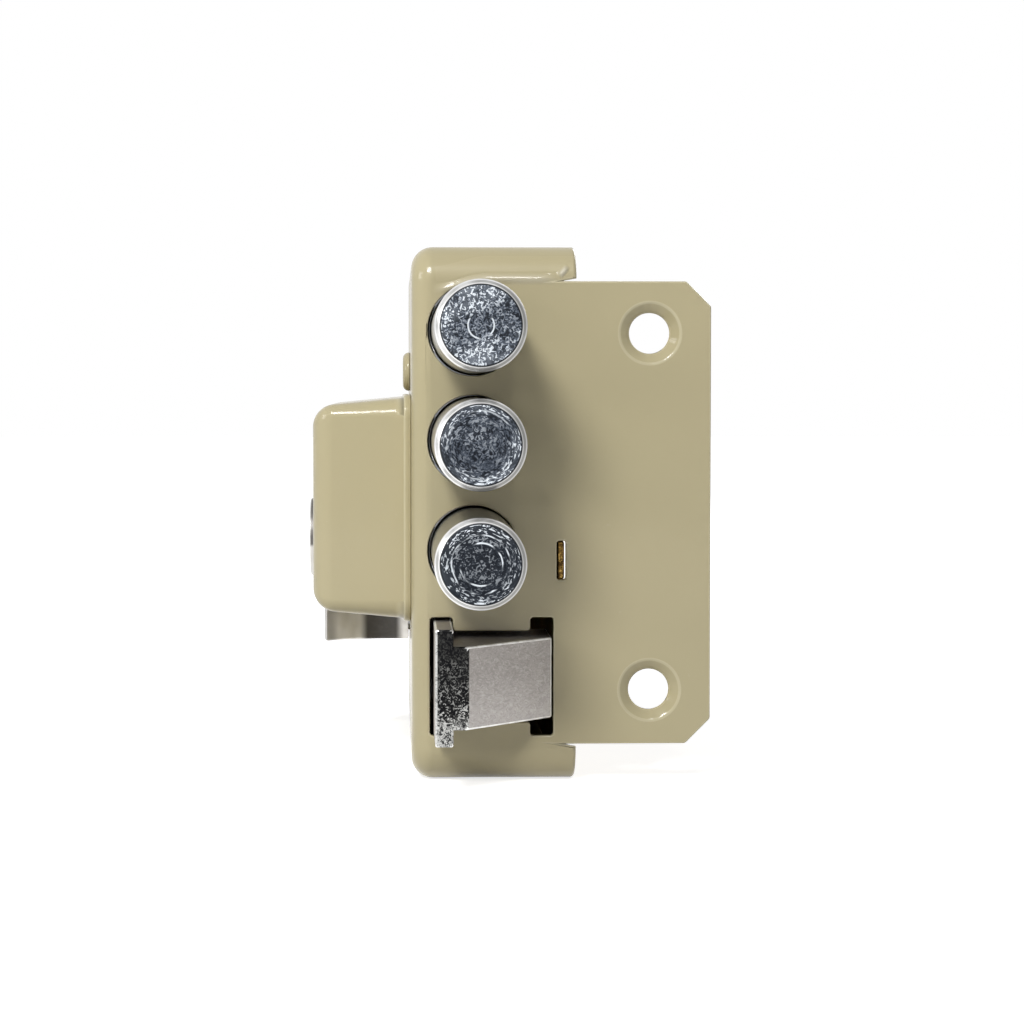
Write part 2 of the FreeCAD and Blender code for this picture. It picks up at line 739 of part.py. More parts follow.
def make_guide_stud():
    """Domed rivet in the room face that the carriage slides on."""
    body = add_body("guide_stud")
    body.setExpression("Placement.Base.x", bound(ROOM_FACE))
    body.setExpression("Placement.Base.y", bound("stud_reach"))
    body.setExpression("Placement.Base.z", bound("stud_height"))
    end = "(" + PLATE_X + " - " + ROOM_FACE + " + slide_clearance + 2 * clip_sheet)"
    outline = add_sketch(body, "XY_Plane")
    polygon(outline, [
        ("-stud_head_height", "0"), (end, "0"), (end, "stud_width / 2"), ("0", "stud_width / 2"),
        ("0", "stud_head / 2"), ("-stud_head_height", "stud_head / 2")])
    revolve(body, outline, "X_Axis")
    outer = -value("stud_head_height")
    round_edges(body, lambda e: lies_at(e, 0, outer), "stud_head_height - 3 * fitted_gap")
    ring = rod("+X", (PLATE_X + " + slide_clearance", "stud_reach", "stud_height"),
               "stud_width + 4 * clip_sheet", "clip_sheet")
    bore = rod("+X", (PLATE_X, "stud_reach", "stud_height"), "stud_width + 2 * fitted_gap", "4 * clip_sheet")
    piece("stud_clip", carve(ring, bore))


def gear_face(teeth, turn):
    """Outline of a spur gear about the origin of the YZ plane, as a face."""
    module, slope = value("module"), math.radians(value("pressure_angle"))
    pitch = module * teeth / 2
    base = pitch * math.cos(slope)
    tip = pitch + module
    root = pitch - 1.25 * module
    half_pitch = (math.pi * module / 2 - value("backlash")) / (2 * pitch)
    lowest = max(base, root)

    def half_angle(radius):
        lean = math.acos(min(1.0, base / radius))
        return half_pitch + math.tan(slope) - slope - math.tan(lean) + lean

    def at(radius, angle):
        return FreeCAD.Vector(0, radius * math.sin(angle), radius * math.cos(angle))

    edges = []
    step = 2 * math.pi / teeth
    middle = (lowest + tip) / 2
    for tooth in range(teeth):
        centre = turn + tooth * step
        start, back = centre - half_angle(lowest), centre + half_angle(lowest)
        if root < lowest:
            edges.append(Part.LineSegment(at(root, start), at(lowest, start)).toShape())
        edges.append(Part.Arc(at(lowest, start), at(middle, centre - half_angle(middle)),
                              at(tip, centre - half_angle(tip))).toShape())
        edges.append(Part.LineSegment(at(tip, centre - half_angle(tip)),
                                      at(tip, centre + half_angle(tip))).toShape())
        edges.append(Part.Arc(at(tip, centre + half_angle(tip)), at(middle, centre + half_angle(middle)),
                              at(lowest, back)).toShape())
        if root < lowest:
            edges.append(Part.LineSegment(at(lowest, back), at(root, back)).toShape())
        after = centre + step - half_angle(lowest)
        edges.append(Part.LineSegment(at(min(root, lowest), back), at(min(root, lowest), after)).toShape())
    return Part.Face(Part.Wire(edges))


def gear_disc(teeth, turn, level, width):
    """A gear with its room side at a level, about the X axis."""
    solid = gear_face(teeth, turn).extrude(FreeCAD.Vector(width, 0, 0))
    solid.translate(FreeCAD.Vector(level, 0, 0))
    return solid


def straight_rod(level, width, length):
    return Part.makeCylinder(width / 2, length, FreeCAD.Vector(level, 0, 0), FreeCAD.Vector(1, 0, 0))


def place_shape(label, solid, place):
    """A computed shape as a node, moved to a named place."""
    item = doc.addObject("Part::Feature", label)
    item.Shape = solid
    item.Placement = FreeCAD.Placement(FreeCAD.Vector(*[value(e) for e in place]), FreeCAD.Rotation())
    piece(label, item)


def make_gears():
    """Drive gear on the cylinder axis and the two-step reduction gear."""
    across = value(CYLINDER_Y) - value("gear_reach")
    mesh = math.atan2(across, -value("cylinder_drop"))
    level = value(PLATE_X + " + gear_gap")
    width = value("gear_width")
    pinion_level = value(FLAT_X + " + slide_clearance")
    wheel = gear_disc(int(value("reduction_teeth")), mesh, level, width)
    pinion = gear_disc(int(value("pinion_teeth")), 0.0, pinion_level, level - pinion_level)
    bore = straight_rod(pinion_level, value("gear_post + 2 * running_clearance"), level + width - pinion_level)
    place_shape("reduction_gear", wheel.fuse(pinion).removeSplitter().cut(bore), ("0", "gear_reach", GEAR_Z))
    drive_teeth = int(value("drive_teeth"))
    drive = gear_disc(drive_teeth, mesh + math.pi + math.pi / drive_teeth, level, width)
    shaft_end = value(ROOM_FACE + " - 2 * clip_sheet - bush_rim_height")
    shaft = straight_rod(shaft_end, value("shaft_width"), level - shaft_end)
    hub_end = value(COVER_INSIDE + " - hub_gap")
    hub = straight_rod(level + width, value("hub_width"), hub_end - level - width)
    blade = value("blade_width + 2 * blade_clearance")
    sheet_slot = value("blade_sheet + 2 * blade_clearance")
    depth = value("socket_depth")
    inner = Part.makeBox(depth, sheet_slot, blade, FreeCAD.Vector(shaft_end, -sheet_slot / 2, -blade / 2))
    outer = Part.makeBox(depth, sheet_slot, blade, FreeCAD.Vector(hub_end - depth, -sheet_slot / 2, -blade / 2))
    solid = drive.fuse([shaft, hub]).removeSplitter().cut([inner, outer])
    place_shape("drive_gear", solid, ("0", CYLINDER_Y, CYLINDER_Z))


def make_gear_post():
    """Post riveted to the cover, with the ring that keeps the reduction gear on."""
    place = (COVER_INSIDE, "gear_reach", GEAR_Z)
    stand = "(" + COVER_INSIDE + " - " + PLATE_X + " - gear_gap - gear_width - slide_clearance)"
    length = "(" + COVER_INSIDE + " - " + FLAT_X + " + 2 * clip_sheet)"
    shoulder = rod("-X", place, "gear_post_shoulder", stand)
    journal = rod("-X", place, "gear_post", length)
    tail = rod("+X", place, "gear_post", "cover_sheet + clip_sheet / 2")
    head = rod("+X", (COVER_X, "gear_reach", GEAR_Z), "gear_post_shoulder", "clip_sheet / 2")
    piece("gear_post", join([shoulder, journal, tail, head]))
    ring = rod("-X", (FLAT_X, "gear_reach", GEAR_Z), "clip_width", "clip_sheet")
    bore = rod("-X", (FLAT_X + " + 1", "gear_reach", GEAR_Z), "gear_post + 2 * fitted_gap", "2 + clip_sheet")
    piece("gear_clip", carve(ring, bore))


def make_bush():
    """Bearing bush for the drive shaft, through the room face."""
    room_end = ROOM_FACE + " - bush_rim_height"
    body = rod("+X", (room_end, CYLINDER_Y, CYLINDER_Z), "bush_width",
               FLAT_X + " - (" + room_end + ") - 2 * slide_clearance")
    rim = rod("+X", (ROOM_INSIDE, CYLINDER_Y, CYLINDER_Z), "bush_rim", "bush_rim_height")
    bore = rod("+X", (room_end + " - 1", CYLINDER_Y, CYLINDER_Z), "shaft_width + 2 * running_clearance",
               "case_depth")
    piece("drive_bush", carve(join([body, rim]), bore))
    ring = rod("-X", (room_end + " - slide_clearance / 2", CYLINDER_Y, CYLINDER_Z), "shaft_width + 3 * clip_sheet",
               "clip_sheet")
    hole = rod("-X", (room_end + " + 1", CYLINDER_Y, CYLINDER_Z), "shaft_width + 2 * fitted_gap",
               "3 + clip_sheet")
    piece("shaft_clip", carve(ring, hole))


def make_latch():
    """Bevelled latch with the rib that runs in the side slot of the opening."""
    body = add_body("latch_bolt")
    tip = "(-wall - latch_reach)"
    wedge = add_sketch(body, "XY_Plane", "latch_height")
    polygon(wedge, [
        (LATCH_NEAR, tip), (LATCH_NEAR + " + latch_nose", tip), (LATCH_FAR, "-wall"),
        (LATCH_FAR, "latch_back"), (LATCH_NEAR, "latch_back")])
    pad(body, wedge, "latch_tall", middle=True)
    rib = add_sketch(body, "XY_Plane", "latch_height")
    rectangle(rib, (LATCH_NEAR, tip), (TAIL_FACE, "latch_back"))
    pad(body, rib, "latch_flange", middle=True)
    front = value(tip)
    round_edges(body, lambda e: lies_at(e, 1, front), "latch_edge")
    seat = add_sketch(body, "YZ_Plane", LATCH_NEAR)
    rectangle(seat, ("latch_back - tail_grip - fitted_gap", "latch_height - tail_bottom - fitted_gap"),
              ("latch_back + 1", "latch_height + tail_top + fitted_gap"))
    pocket(body, seat, "latch_web + fitted_gap", reverse=True)
    hole = add_sketch(body, "XZ_Plane", "-latch_back")
    circle(hole, (ROD_X, "latch_height"), "rod_width + 2 * fitted_gap")
    pocket(body, hole, "tail_grip", reverse=True)
    rivet = add_sketch(body, "YZ_Plane", TAIL_FACE)
    circle(rivet, ("latch_back - tail_grip / 2", "latch_height"), "tail_rivet + 2 * fitted_gap")
    pocket(body, rivet, "tail_grip / 2", reverse=True)


def make_latch_tail():
    """Flat bar behind the latch that carries the thumb piece."""
    body = add_body("latch_tail")
    bar = add_sketch(body, "YZ_Plane", LATCH_NEAR)
    rectangle(bar, ("latch_back - tail_grip", "latch_height - tail_bottom"), ("tail_end", "latch_height + tail_top"))
    pad(body, bar, "latch_web")
    holes = add_sketch(body, "YZ_Plane", LATCH_NEAR)
    circle(holes, ("latch_back - tail_grip / 2", "latch_height"), "tail_rivet + 2 * fitted_gap")
    circle(holes, ("thumb_reach", THUMB_Z), "thumb_screw + 2 * fitted_gap")
    pocket(body, holes, "latch_web", reverse=True)
    rivet = rod("+X", (LATCH_NEAR, "latch_back - tail_grip / 2", "latch_height"), "tail_rivet",
                "latch_web + tail_grip / 2 - 2 * fitted_gap")
    piece("tail_rivet", rivet)
    spindle = rod("+Y", (ROD_X, "latch_back - tail_grip + 2 * fitted_gap", "latch_height"), "rod_width",
                  "rod_end - latch_back + tail_grip")
    piece("spring_rod", spindle)


def make_bracket():
    """Angle on the room wall that the spring pushes against."""
    body = add_body("latch_bracket")
    plate = add_sketch(body, "XZ_Plane", "-(bracket_reach + bracket_sheet)")
    notch = TAIL_FACE + " + slide_clearance"
    ledge = "latch_height - tail_bottom - slide_clearance"
    far = ROD_X + " + bracket_side"
    polygon(plate, [
        (ROOM_INSIDE, "bracket_low"), (far, "bracket_low"), (far, "bracket_high"), (notch, "bracket_high"),
        (notch, ledge), (ROOM_INSIDE, ledge)])
    pad(body, plate, "bracket_sheet")
    foot = add_sketch(body, "YZ_Plane", ROOM_INSIDE)
    rectangle(foot, ("bracket_reach", "bracket_low"), ("bracket_reach + bracket_foot", ledge))
    pad(body, foot, "bracket_sheet")
    hole = add_sketch(body, "XZ_Plane", "-bracket_reach")
    circle(hole, (ROD_X, "latch_height"), "rod_width + 2 * slide_clearance")
    pocket(body, hole, "4 * bracket_sheet", middle=True)


def make_spring():
    """Latch spring: one round wire in half turns about the spring rod."""
    wire = value("spring_wire")
    radius = value("rod_width / 2 + spring_clearance + spring_wire / 2")
    start = value("latch_back + spring_wire / 2 + 2 * fitted_gap")
    end = value("bracket_reach - spring_wire / 2 - 2 * fitted_gap")
    turns = value("spring_turns")
    pitch = (end - start) / turns

    def at(angle):
        return FreeCAD.Vector(radius * math.cos(angle), start + pitch * angle / (2 * math.pi),
                              radius * math.sin(angle))

    edges = []
    for half in range(int(2 * turns)):
        angle = half * math.pi
        edges.append(Part.Arc(at(angle), at(angle + math.pi / 2), at(angle + math.pi)).toShape())
    path = Part.Wire(edges)
    heading = edges[0].tangentAt(edges[0].FirstParameter)
    ring = Part.Wire([Part.Circle(at(0.0), heading, wire / 2).toShape()])
    place_shape("latch_spring", path.makePipeShell([ring], True, False), (ROD_X, "0", "latch_height"))
    marks = 24
    points = [at(step * 2 * math.pi / marks) for step in range(int(marks * turns))]
    gaps = [(a - b).Length for i, a in enumerate(points) for b in points[i + marks // 2:]]
    print("least gap of the spring to itself: %.2f mm" % (min(gaps) - wire))
    print("spring volume against section times length: %.4f"
          % (PIECES[-1].Shape.Volume / (math.pi * wire ** 2 / 4 * path.Length)))


def bowed_outline(sketch, corners, bows):
    """A closed outline through named corners, each side bowed to its left by a named height."""
    count = len(corners)
    points = [FreeCAD.Vector(value(a), value(b), 0) for a, b in corners]
    ends = []
    for i in range(count):
        start, stop = points[i], points[(i + 1) % count]
        if bows[i] is None:
            index = sketch.addGeometry(Part.LineSegment(start, stop), False)
            ends.append((index, 1, 2))
            continue
        along = stop - start
        left = FreeCAD.Vector(-along.y, along.x, 0).normalize()
        crest = (start + stop) * 0.5 + left * value(bows[i])
        index = sketch.addGeometry(Part.Arc(start, crest, stop), False)
        forward = (sketch.getPoint(index, 1) - start).Length < 1e-6
        ends.append((index, 1, 2) if forward else (index, 2, 1))
        a, b = corners[i], corners[(i + 1) % count]
        chord = "((" + b[0] + " - (" + a[0] + "))^2 + (" + b[1] + " - (" + a[1] + "))^2)"
        bend = "abs((" + chord + " / 4 + (" + bows[i] + ")^2) / (2 * (" + bows[i] + ")))"
        size = sketch.addConstraint(Sketcher.Constraint("Radius", index, value(bend)))
        sketch.setExpression("Constraints[%d]" % size, bound(bend))
    for i in range(count):
        index, start, stop = ends[i]
        after = ends[(i + 1) % count]
        sketch.addConstraint(Sketcher.Constraint("Coincident", index, stop, after[0], after[1]))
        fix_point(sketch, index, start, corners[i])


def make_thumb_piece():
    """Scooped blade on a neck through the room face, pushed back to draw the latch."""
    body = add_body("thumb_piece")
    blade = add_sketch(body, "XY_Plane", THUMB_Z)
    outer = THUMB_X + " - thumb_span + thumb_round"
    front = "(thumb_reach - thumb_sheet / 2)"
    back = "(thumb_reach + thumb_sheet / 2)"
    bowed_outline(blade, [
        (THUMB_X, front), (THUMB_X, back), (outer, back + " - thumb_lean"), (outer, front + " - thumb_lean")],
        [None, "-thumb_scoop", "-thumb_round", "thumb_scoop"])
    pad(body, blade, "thumb_high - thumb_low", middle=True)
    low = value("latch_height + thumb_low")
    high = value("latch_height + thumb_high")
    round_edges(body, lambda e: lies_at(e, 2, low) or lies_at(e, 2, high), "thumb_edge")
    neck = add_sketch(body, "YZ_Plane", LATCH_NEAR)
    rectangle(neck, ("thumb_reach - neck_width / 2", THUMB_Z + " - neck_height / 2"),
              ("thumb_reach + neck_width / 2", THUMB_Z + " + neck_height / 2"))
    pad(body, neck, LATCH_NEAR + " - " + THUMB_X + " + thumb_sheet / 2", reverse=True)
    hole = add_sketch(body, "YZ_Plane", LATCH_NEAR)
    circle(hole, ("thumb_reach", THUMB_Z), "thumb_screw + 2 * fitted_gap")
    pocket(body, hole, "thumb_screw_grip")
    head = rod("+X", (TAIL_FACE, "thumb_reach", THUMB_Z), "2 * thumb_screw", "thumb_screw / 2")
    shank = rod("-X", (TAIL_FACE, "thumb_reach", THUMB_Z), "thumb_screw",
                "latch_web + thumb_screw_grip - fitted_gap")
    slot = block((TAIL_FACE + " + thumb_screw / 4", "thumb_reach - 2 * thumb_screw", THUMB_Z + " - thumb_screw / 8"),
                 ("thumb_screw", "4 * thumb_screw", "thumb_screw / 4"))
    piece("thumb_screw", carve(join([head, shank]), slot))


def make_cover():
    """Sheet that closes the pan, hooked through the face by its tab."""
    body = add_body("cover_plate")
    sheet_outline = add_sketch(body, "YZ_Plane", COVER_INSIDE)
    rounded_rectangle(sheet_outline, ("cover_gap", "case_bottom + wall + cover_gap"),
                      ("case_reach - wall - cover_gap", "case_top - wall - cover_gap"),
                      "case_corner - wall - cover_gap")
    pad(body, sheet_outline, "cover_sheet")
    tab = add_sketch(body, "YZ_Plane", COVER_INSIDE)
    rectangle(tab, ("-wall + tab_recess", "tab_level - tab_height / 2"), ("wall", "tab_level + tab_height / 2"))
    pad(body, tab, "cover_sheet")
    holes = add_sketch(body, "YZ_Plane", COVER_INSIDE)
    circle(holes, (CYLINDER_Y, CYLINDER_Z), "tail_hole")
    circle(holes, ("gear_reach", GEAR_Z), "gear_post + 2 * fitted_gap")
    for height in ("door_post_low", "door_post_high"):
        circle(holes, ("door_post_reach", height), "door_spigot + 2 * slide_clearance")
    for reach, height in cover_post_places():
        circle(holes, (reach, height), "cover_screw + 2 * fitted_gap")
    pocket(body, holes, "cover_sheet", reverse=True)


def cover_post_places():
    return [("cover_post_reach", "cover_post_high"), ("cover_post_reach", "cover_post_low"),
            ("rear_post_reach", "rear_post_height")]


def make_posts():
    """Tapped posts for the door screws and for the cover, welded to the room wall."""
    stand = "(" + COVER_INSIDE + " - " + ROOM_INSIDE + ")"
    posts = []
    for height in ("door_post_low", "door_post_high"):
        place = (ROOM_INSIDE, "door_post_reach", height)
        body = rod("+X", place, "door_post", stand)
        spigot = rod("+X", place, "door_spigot", "door_face - spigot_inset - " + ROOM_INSIDE)
        thread = rod("-X", ("door_face", "door_post_reach", height), "door_thread", "door_thread_depth")
        posts.append(carve(join([body, spigot]), thread))
    group("door_posts", posts)
    posts = []
    screws = []
    for reach, height in cover_post_places():
        body = rod("+X", (ROOM_INSIDE, reach, height), "cover_post", stand)
        thread = rod("-X", ("door_face", reach, height), "cover_screw + 2 * fitted_gap", "door_thread_depth")
        posts.append(carve(body, thread))
        head = rod("+X", (COVER_X, reach, height), "cover_screw_head", "cover_screw_head_height")
        shank = rod("-X", (COVER_X, reach, height), "cover_screw", "cover_screw_length")
        slot = block((COVER_X + " + cover_screw_head_height / 2", reach + " - cover_screw_head",
                      height + " - cover_screw / 8"),
                     ("cover_screw_head_height", "2 * cover_screw_head", "cover_screw / 4"))
        screws.append(carve(join([head, shank]), slot))
    group("cover_posts", posts)
    group("cover_screws", screws)


def make_housing():
    """Raised housing of the key cylinder: a drafted shell with a lip at its foot."""
    body = add_body("housing")
    base = add_sketch(body, "YZ_Plane", ROOM_FACE)
    rounded_rectangle(base, ("housing_front", "housing_low"), ("housing_back", "housing_high"), "housing_corner")
    shell = pad(body, base, "housing_depth", reverse=True)
    shell.setExpression("TaperAngle", bound("-housing_draft"))
    finish_feature(body, shell)
    top = value(HOUSING_TOP)
    round_edges(body, lambda e: lies_at(e, 0, top), "housing_edge")
    foot = add_sketch(body, "YZ_Plane", ROOM_FACE)
    rounded_rectangle(foot, ("housing_front - housing_lip", "housing_low - housing_lip"),
                      ("housing_back + housing_lip", "housing_high + housing_lip"), "housing_corner + housing_lip")
    pad(body, foot, "housing_lip_height", reverse=True)
    hollow = add_sketch(body, "YZ_Plane", ROOM_FACE)
    rounded_rectangle(hollow, ("housing_front + housing_wall", "housing_low + housing_wall"),
                      ("housing_back - housing_wall", "housing_high - housing_wall"),
                      "housing_corner - housing_wall")
    cavity = pocket(body, hollow, "housing_depth - housing_wall")
    cavity.setExpression("TaperAngle", bound("-housing_draft"))
    finish_feature(body, cavity)
    roof = value(HOUSING_TOP + " + housing_wall")
    round_edges(body, lambda e: lies_at(e, 0, roof), "housing_edge - housing_wall")
    seat = add_sketch(body, "YZ_Plane", HOUSING_TOP + " + housing_wall / 2")
    circle(seat, (CYLINDER_Y, CYLINDER_Z), "cylinder_seat")
    pad(body, seat, "housing_wall / 2 + cylinder_seat_height")
    bosses = add_sketch(body, "YZ_Plane", ROOM_FACE)
    for reach, height in housing_boss_places():
        circle(bosses, (reach, height), "housing_boss")
    pad(body, bosses, "housing_depth - housing_wall / 2", reverse=True)
    holes = add_sketch(body, "YZ_Plane", ROOM_FACE)
    for reach, height in housing_boss_places():
        circle(holes, (reach, height), "housing_screw + 2 * fitted_gap")
    pocket(body, holes, "housing_screw_length")
    mouth = add_sketch(body, "YZ_Plane", HOUSING_TOP)
    circle(mouth, (CYLINDER_Y, CYLINDER_Z), "cylinder_width + 2 * running_clearance")
    pocket(body, mouth, "2 * housing_depth", middle=True)
    screws = []
    for reach, height in housing_boss_places():
        head = rod("+X", (ROOM_INSIDE, reach, height), "housing_screw_head", "housing_screw_head_height")
        shank = rod("-X", (ROOM_INSIDE, reach, height), "housing_screw", "housing_screw_length")
        screws.append(join([head, shank]))
    group("housing_screws", screws)


def make_cylinder():
    """Key cylinder in the housing: body, ring nut, plug and tail blade."""
    rear = "(" + ROOM_FACE + " - cylinder_back)"
    face = "(" + HOUSING_TOP + " - cylinder_proud)"
    barrel = rod("+X", (HOUSING_TOP, CYLINDER_Y, CYLINDER_Z), "cylinder_width", rear + " - " + HOUSING_TOP)
    rim = rod("+X", (face, CYLINDER_Y, CYLINDER_Z), "cylinder_rim", "cylinder_proud")
    bore = rod("+X", (face + " - 1", CYLINDER_Y, CYLINDER_Z), "plug_width + 2 * running_clearance", "case_depth")
    seat = rod("+X", (face + " - 1", CYLINDER_Y, CYLINDER_Z), "plug_head + 2 * running_clearance",
               "1 + plug_head_height + fitted_gap")
    body = carve(join([barrel, rim]), join([bore, seat]))
    piece("cylinder_body", body)
    body.recompute()
    plug = rod("+X", (face, CYLINDER_Y, CYLINDER_Z), "plug_width", rear + " - " + face)
    head = rod("+X", (face, CYLINDER_Y, CYLINDER_Z), "plug_head", "plug_head_height")
    keyway = block((face + " - 1", CYLINDER_Y + " - keyway_width / 2", CYLINDER_Z + " - keyway_height / 2"),
                   ("keyway_depth + 1", "keyway_width", "keyway_height"))
    slot = block((rear + " - blade_grip - fitted_gap", CYLINDER_Y + " - blade_sheet / 2 - fitted_gap",
                  CYLINDER_Z + " - blade_width / 2 - fitted_gap"),
                 ("blade_grip + 1", "blade_sheet + 2 * fitted_gap", "blade_width + 2 * fitted_gap"))
    piece("cylinder_plug", carve(join([plug, head]), join([keyway, slot])))
    blade = block((rear + " - blade_grip", CYLINDER_Y + " - blade_sheet / 2", CYLINDER_Z + " - blade_width / 2"),
                  ("blade_grip + cylinder_back + blade_reach", "blade_sheet", "blade_width"))
    piece("tail_blade", blade)
    prism = doc.addObject("Part::Prism", "nut")
    prism.Polygon = 6
    prism.setExpression("Circumradius", bound("nut_width / 2"))
    prism.setExpression("Height", bound("nut_height"))
    put(prism, "+X", (HOUSING_TOP + " + housing_wall + cylinder_seat_height", CYLINDER_Y, CYLINDER_Z))
    flats_up = FreeCAD.Rotation(FreeCAD.Vector(0, 0, 1), 30)
    prism.Placement = FreeCAD.Placement(prism.Placement.Base, TURNS["+X"] * flats_up)
    thread = rod("+X", (HOUSING_TOP, CYLINDER_Y, CYLINDER_Z), "cylinder_width + 2 * fitted_gap", "case_depth")
    piece("cylinder_nut", carve(prism, thread))


make_case()
make_bolt_guide()
for label, height in BOLTS.items():
    make_bolt(label, height)
make_carriage()
make_bolt_screws()
make_guide_stud()
make_gears()
make_gear_post()
make_bush()
make_latch()
make_latch_tail()
make_bracket()
make_spring()
make_thumb_piece()
make_cover()
make_posts()
make_housing()
make_cylinder()
doc.recompute()

for item in doc.Objects:
    if "Invalid" in item.State or "Error" in item.State:
        raise RuntimeError(item.Name + " failed")
os.makedirs("parts", exist_ok=True)
for node in PIECES:
    if node.Shape.isNull() or not node.Shape.isValid():
        raise RuntimeError(node.Label + " has no valid shape")
for node in PIECES:
    node.Shape.exportStep("parts/" + node.Label + ".step")
    box = node.Shape.BoundBox
    print("%-16s %d solids %9.1f mm3  X %6.1f %6.1f  Y %6.1f %6.1f  Z %6.1f %6.1f" % (
        node.Label, len(node.Shape.Solids), node.Shape.Volume,
        box.XMin, box.XMax, box.YMin, box.YMax, box.ZMin, box.ZMax))
print("bolt throw: %.4f mm" % value(THROW))
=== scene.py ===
# %% [markdown]
# # A rim lock, dressed around its construction model
#
# The lock stands with its edge plate towards us, as it shows in an open door: a painted steel
# pan on the left with its flange turned out to the right, three steel bolts, a bevelled latch
# below them, and a raised key housing on the room side.
#
# The construction model comes in first and stays where it is. Each later cell either gives one
# of its nodes a finish, or makes a finer shell over it from the same measures.

import json
from math import atan2, cos, pi, radians, sin

import bmesh
import bpy
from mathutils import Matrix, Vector
from mathutils.bvhtree import BVHTree


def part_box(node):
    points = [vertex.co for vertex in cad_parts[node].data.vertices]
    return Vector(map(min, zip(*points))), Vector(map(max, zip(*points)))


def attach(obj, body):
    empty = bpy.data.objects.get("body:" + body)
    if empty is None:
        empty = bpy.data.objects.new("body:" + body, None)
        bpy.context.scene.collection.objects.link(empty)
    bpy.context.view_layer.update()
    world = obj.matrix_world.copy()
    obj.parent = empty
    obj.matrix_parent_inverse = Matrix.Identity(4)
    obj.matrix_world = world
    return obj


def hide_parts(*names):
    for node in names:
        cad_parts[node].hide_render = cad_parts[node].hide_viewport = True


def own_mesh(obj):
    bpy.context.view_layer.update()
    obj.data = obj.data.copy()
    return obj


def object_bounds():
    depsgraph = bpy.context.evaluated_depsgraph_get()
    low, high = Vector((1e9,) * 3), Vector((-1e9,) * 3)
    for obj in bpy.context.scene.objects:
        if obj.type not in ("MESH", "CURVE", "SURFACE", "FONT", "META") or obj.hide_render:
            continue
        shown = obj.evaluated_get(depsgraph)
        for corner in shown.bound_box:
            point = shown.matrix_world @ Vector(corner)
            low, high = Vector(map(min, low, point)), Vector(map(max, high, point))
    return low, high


MM = 0.001

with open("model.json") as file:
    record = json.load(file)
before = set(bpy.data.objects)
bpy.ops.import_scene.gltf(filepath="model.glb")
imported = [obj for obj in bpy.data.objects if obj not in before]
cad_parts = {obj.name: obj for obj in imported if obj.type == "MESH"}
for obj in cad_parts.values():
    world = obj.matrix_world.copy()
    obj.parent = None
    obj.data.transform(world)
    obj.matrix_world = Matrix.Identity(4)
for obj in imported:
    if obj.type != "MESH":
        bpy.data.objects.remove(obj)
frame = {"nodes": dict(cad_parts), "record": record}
cad_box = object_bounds()
scene = bpy.context.scene
nodes = frame["nodes"]
BODY_OF = {node: body for body, group in frame["record"]["behaviour"]["bodies"].items()
           for node in group}
SLOT_OF = {part["node"]: part["material_slot"] for part in frame["record"]["subparts"]}

# %% [markdown]
# ## The camera
#
# The photograph looks along the door leaf from less than half a metre away. The thrown bolts
# come so near that their tips look larger than their holes, so the distance matters as much as
# the direction. The lens is given by its focal length in pixels of the photograph's frame, and
# the direction by the pixel that lines along +Y run to, because both can be measured there.

# %% Camera
EYE = Vector((-53.1, -432.0, 25.9)) * MM
FRAME_PIXELS = 1024
FOCAL_PIXELS = 2068
VANISHING_POINT = (395.2, 387.9)
SHIFT = (0.06, -0.06)
NEAREST = 0.01


def add_camera(eye, focal, vanishing, shift):
    """An upright camera that sends lines along +Y to a pixel of the frame, by turn and by shift."""
    lens = bpy.data.cameras.new("camera")
    lens.sensor_fit = "HORIZONTAL"
    lens.lens = lens.sensor_width * focal / FRAME_PIXELS
    lens.shift_x, lens.shift_y = shift
    lens.clip_start = NEAREST
    camera = bpy.data.objects.new("camera", lens)
    scene.collection.objects.link(camera)
    camera.location = eye
    half = FRAME_PIXELS / 2
    turn = atan2(half - vanishing[0] - shift[0] * FRAME_PIXELS, focal)
    tilt = atan2(half - vanishing[1] + shift[1] * FRAME_PIXELS, focal)
    camera.rotation_euler = (pi / 2 - tilt, 0, -turn)
    return camera


scene.camera = add_camera(EYE, FOCAL_PIXELS, VANISHING_POINT, SHIFT)
print("lens: %.1f mm" % scene.camera.data.lens)

# %% [markdown]
# ## Finishes
#
# A finish is a small tree of nodes on the object's own coordinates. It could be built in the
# editor, but the same few patterns come back in every metal here, so the helper below makes
# them in one call each: `add` makes a node and feeds its sockets, and the rest are ramps,
# bands, grains and bumps. Colours are linear.

# %% Finish helper


